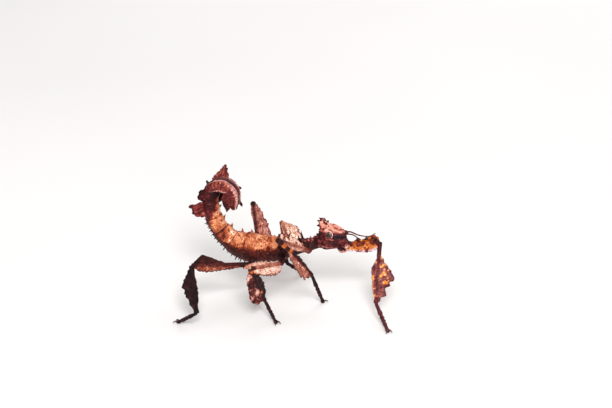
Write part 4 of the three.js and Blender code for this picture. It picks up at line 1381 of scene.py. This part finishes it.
def mid_right(leg):
    leg.hip_and_coxa((0.18, 0.1, 0.3))
    leg.keel("femur", 140, [
        (0.02, 0.6), (0.12, 1.8), (0.35, 2.4), (0.6, 2.2), (0.8, 1.6), (0.92, 1.2), (0.97, 0.3),
    ], bark(0.82, 0.22, 0.05, 0.6, 0.17, 0.05, seed=91), teeth=15, tooth=0.45, cup=-0.3, veins=8)
    leg.keel("femur", -30, [
        (0.1, 0.2), (0.3, 0.7), (0.55, 1.1), (0.75, 1.3), (0.95, 1.35), (1.12, 0.95), (1.22, 0.45),
    ], bark(0.76, 0.2, 0.05, 0.45, 0.17, 0.05, seed=93), (0.1, 0.98))
    leg.rod("femur", (0.6, 0.52), [(0, 0.2), (0.15, 0.5), (0.8, 0.58), (0.92, 0.15)], 95, hue=0.05,
            accent=0.1, thorns=(24, 0.45, (0.25, 0, 0.1)))
    inner = bark(0.28, 0.14, 0.1, 0.15, 0.08, 0.6, seed=99)

    def patched(p, q, points):
        looks = inner(p, q, points)
        looks[:, 0] += 0.5 * smooth((grain(points, 1.0, 103) - 0.1 - 0.25 * p + 0.2 * q) / 0.12)
        return looks

    leg.keel("tibia", 0, MID_UPPER + [(0.66, 3.4), (0.83, 3.1), (0.92, 2.2), (0.97, 0.3)],
             patched, tooth=0.4, cup=0.5, veins=7, wave=0.15)
    leg.keel("tibia", 180, MID_LOWER + [(0.6, 1.9), (0.8, 1.5), (0.96, 0.3)],
             bark(0.14, 0.16, 0.1, 0.1, 0.05, 0.6, seed=97), teeth=8, tooth=0.35)
    bands = [
        (0, 0.12, 0), (0.04, 0.55, 1), (0.09, 0.5, 1), (0.13, 0.1, 0), (0.66, 0.1, 0),
        (0.69, 0.6, 0.8), (0.73, 0.55, 0.8), (0.76, 0.1, 0), (1, 0.08, 0),
    ]
    leg.rod("tibia", (0.58, 0.46), bands, 101, thorns=(22, 0.45, (0.12, 0, 0.4)))
    return (0.08, 0.0, 0.3)


def mid_left(leg):
    leg.hip_and_coxa((0.2, 0.1, 0.3))
    pale = bark(0.78, 0.2, 0.12, 0.45, 0.15, 0.1, seed=111)
    leg.keel("femur", 85, [
        (0.04, 0.5), (0.15, 2.6), (0.3, 4.1), (0.45, 3.9), (0.6, 3.4), (0.7, 3.4), (0.78, 3.3),
        (0.82, 2.4), (0.88, 1.9), (0.94, 0.9), (1.0, 0.15),
    ], pale, teeth=8, tooth=0.35, cup=0.4, veins=6)
    leg.keel("femur", -90, [(0.3, 0.2), (0.5, 0.5), (0.7, 0.6), (0.9, 0.3), (0.95, 0.1)], pale,
             teeth=6, tooth=0.15)
    leg.rod("femur", (0.58, 0.36), [(0, 0.2), (0.2, 0.42), (0.9, 0.5), (1, 0.35)], 115, accent=0.2,
            knob=0.05)
    dusk = bark(0.45, 0.16, 0.15, 0.2, 0.08, 0.4, seed=117)
    leg.keel("tibia", 0, MID_UPPER + [(0.66, 3.3), (0.83, 3.0), (0.92, 2.2), (0.97, 0.3)], dusk,
             teeth=9, tooth=0.35, cup=0.5, wave=0.15)
    leg.keel("tibia", 180, MID_LOWER + [(0.6, 1.8), (0.8, 1.4), (0.96, 0.3)], dusk, teeth=7, tooth=0.3)
    leg.rod("tibia", (0.5, 0.44), [(0, 0.5), (0.3, 0.5), (0.5, 0.2), (1, 0.1)], 119, accent=0.3,
            thorns=(16, 0.4, (0.12, 0, 0.4)))
    return (0.1, 0.0, 0.3)


def hind_right(leg):
    leg.hip_and_coxa((0.14, 0.1, 0.3))
    # The upper keel is much darker than the lower: partly own colour, partly painted shade.
    leg.keel("femur", 0, [
        (0.28, 0.1), (0.42, 0.5), (0.55, 1.3), (0.68, 2.3), (0.78, 2.8), (0.84, 2.4), (0.93, 1.2),
        (0.99, 0.3),
    ], bark(0.2, 0.14, 0.15, 0.1, 0.08, 0.55, seed=131), teeth=7, tooth=0.2, cup=-0.2)
    leg.keel("femur", 180, [
        (0.1, 0.3), (0.3, 0.9), (0.55, 1.35), (0.75, 1.7), (0.88, 1.5), (0.98, 0.4),
    ], bark(0.46, 0.2, 0.3, 0.35, 0.16, 0.0, seed=133), teeth=12, tooth=0.32)
    stops = [(0, 0.14), (0.3, 0.22), (0.6, 0.34), (0.9, 0.3), (0.96, 0.1)]
    leg.rod("femur", (0.62, 0.5), stops, 135, hue=0.2, accent=0.3, thorns=(24, 0.45, (0.2, 0.1, 0.4)))
    # The tibia's keels, its rod and the foot are near-black: partly own dark colour, partly painted shade.
    dark_and_shaded = bark(0.09, 0.08, 0.1, 0.02, 0.05, 0.35, seed=137)
    leg.keel("tibia", 0, [
        (0.03, 0.2), (0.16, 1.2), (0.34, 2.4), (0.46, 2.9), (0.52, 2.3), (0.66, 2.2), (0.72, 1.5),
        (0.84, 1.3), (0.95, 0.4),
    ], dark_and_shaded, teeth=8, tooth=0.3)
    leg.keel("tibia", 180, [(0.08, 0.2), (0.35, 0.75), (0.6, 0.9), (0.92, 0.3)], dark_and_shaded, teeth=6, tooth=0.2)
    leg.rod("tibia", (0.56, 0.48), [(0, 0.1), (1, 0.08)], 139, accent=0.3,
            thorns=(18, 0.4, (0.1, 0.1, 0.3)))
    # The foot's near-black tone is partly painted shade too.
    return (0.09, 0.0, 0.3)


def hind_left(leg):
    leg.hip_and_coxa((0.16, 0.1, 0.3))
    dusty = bark(0.6, 0.16, 0.08, 0.3, 0.1, 0.45, seed=151)
    leg.keel("femur", 90, [
        (0.08, 0.2), (0.18, 2.6), (0.28, 3.5), (0.36, 3.5), (0.46, 3.0), (0.58, 2.8), (0.66, 2.2),
        (0.8, 1.7), (0.9, 1.1), (0.99, 0.4),
    ], dusty, teeth=9, tooth=0.35, cup=0.3, veins=8)
    leg.keel("femur", -90, [(0.35, 0.1), (0.55, 0.4), (0.75, 0.75), (0.88, 0.7), (0.98, 0.4)], dusty,
             teeth=7, tooth=0.15)
    stops = [(0, 0.2), (0.3, 0.32), (0.88, 0.3), (0.94, 0.12), (1, 0.1)]
    leg.rod("femur", (0.5, 0.45), stops, 155, accent=0.5, knob=0.35)
    dusk = bark(0.2, 0.14, 0.12, 0.1, 0.06, 0.45, seed=157)
    leg.keel("tibia", 0, [
        (0.05, 0.2), (0.2, 1.3), (0.36, 2.4), (0.48, 2.7), (0.6, 2.4), (0.78, 1.5), (0.95, 0.4),
    ], dusk, teeth=8, tooth=0.3)
    leg.keel("tibia", 180, [(0.1, 0.2), (0.35, 0.7), (0.6, 0.85), (0.9, 0.3)], dusk, teeth=5, tooth=0.2)
    leg.rod("tibia", (0.5, 0.44), [(0, 0.14), (1, 0.1)], 159, accent=0.3,
            thorns=(16, 0.4, (0.12, 0, 0.4)))
    return (0.1, 0.0, 0.3)


def leg_relief(points, looks):
    lift = 0.045 * grain(points, 0.38, 61) + 0.028 * grain(points, 0.17, 63)
    return lift * smooth(points[:, 2] / 0.5)


legs, claws = {}, {}
for build in (fore_right, fore_left, mid_right, mid_left, hind_right, hind_left):
    leg = Leg(build.__name__)
    leg.foot(*build(leg))
    legs[leg.name] = melt(leg.clay, "leg_" + leg.name, leg_look, leg_relief)
    claws[leg.name] = leg.claws()

# ---------------------------------------------------------------- floor, light and camera


def make_floor():
    size = 3.0
    corners = [(-size, -size, 0), (size, -size, 0), (size, size, 0), (-size, size, 0)]
    floor = make_object("floor", corners, [(0, 1, 2, 3)])
    n = Nodes("pale_floor")
    cloud = n.noise(9.0, 2, 0.4, 0.0, n.place())
    colour = n.ramp(cloud, [(0.3, "f3f1ef"), (0.7, "f7f5f4")])
    floor.data.materials.append(n.finish({"Base Color": colour, "Roughness": 0.85}))


LIT_POINT = (0, 0, 0.015)


def make_light(name, place, size, power):
    light = bpy.data.lights.new(name, "AREA")
    light.size = size
    light.energy = power
    obj = bpy.data.objects.new(name, light)
    obj.location = place
    way = Vector(LIT_POINT) - Vector(place)
    obj.rotation_euler = way.to_track_quat("-Z", "Y").to_euler()
    bpy.context.scene.collection.objects.link(obj)


def make_world():
    world = bpy.data.worlds.new("studio")
    world.use_nodes = True
    background = world.node_tree.nodes["Background"]
    background.inputs[0].default_value = (1.0, 0.99, 0.98, 1)
    background.inputs[1].default_value = 0.4
    bpy.context.scene.world = world


# The camera: 450 mm from the insect's middle, 24 degrees above it and 18 degrees round from
# its right side. The photograph's framing is in pixels: its size, the focal length that fits
# it, and where the optical axis meets it.
CAMERA = {"distance": 450.0, "up": 24.0, "round": 18.0, "roll": -1.8, "aim": (0.0, 0.0, 14.0)}
IMAGE = (612, 408)
FOCAL_PX = 1800.0
CENTRE_PX = (257.5, 243.7)
SENSOR = 36.0


def make_camera():
    up, turn, roll = (math.radians(CAMERA[k]) for k in ("up", "round", "roll"))
    level = np.array([-math.sin(turn), math.cos(turn), 0])
    right = np.array([math.cos(turn), math.sin(turn), 0])
    vertical = np.array([0, 0, 1.0])
    view = math.cos(up) * level - math.sin(up) * vertical
    top = math.sin(up) * level + math.cos(up) * vertical
    rolled_right = math.cos(roll) * right + math.sin(roll) * top
    rolled_top = math.cos(roll) * top - math.sin(roll) * right
    place = np.array(CAMERA["aim"]) - view * CAMERA["distance"] + SHIFT
    data = bpy.data.cameras.new("camera")
    data.sensor_width = SENSOR
    data.lens = FOCAL_PX / IMAGE[0] * SENSOR
    data.shift_x = (IMAGE[0] / 2 - CENTRE_PX[0]) / IMAGE[0]
    data.shift_y = (CENTRE_PX[1] - IMAGE[1] / 2) / IMAGE[0]
    data.clip_start = 0.01
    data.clip_end = 20
    camera = bpy.data.objects.new("camera", data)
    matrix = np.eye(4)
    matrix[:3] = np.stack([rolled_right, rolled_top, -view, place * MM], axis=1)
    camera.matrix_world = Matrix(matrix.tolist())
    bpy.context.scene.collection.objects.link(camera)
    bpy.context.scene.camera = camera


make_floor()
make_world()
make_light("key", (0.2, -0.5, 0.46), size=0.28, power=4.4)
make_light("fill", (-0.5, -0.35, 0.3), size=0.6, power=0.7)
make_light("back", (0.05, 0.5, 0.42), size=0.5, power=1.6)
bpy.context.scene.view_settings.view_transform = "Standard"
make_camera()

# ---------------------------------------------------------------- hide the CAD parts that the pieces replace, and attach the pieces to the root

trunk_nodes = [t[0] for t in TRUNK]
lobe_nodes = [f"lobe_{segment}_{hand}" for segment in range(5, 10) for hand in ("right", "left")]
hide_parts(*trunk_nodes, *lobe_nodes)
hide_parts("head")
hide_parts("mouthparts")
for hand in ("right", "left"):
    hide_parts("antenna_" + hand)
    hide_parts("eye_" + hand)
for name, skin in legs.items():
    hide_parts(*(part + "_" + name for part in ("coxa", "femur", "tibia", "tarsus")))
skins = (body_skin, head_skin, mouth_skin)
for piece in (*skins, *antennae.values(), *eyes.values(), *legs.values(), *claws.values()):
    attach(piece, "root")
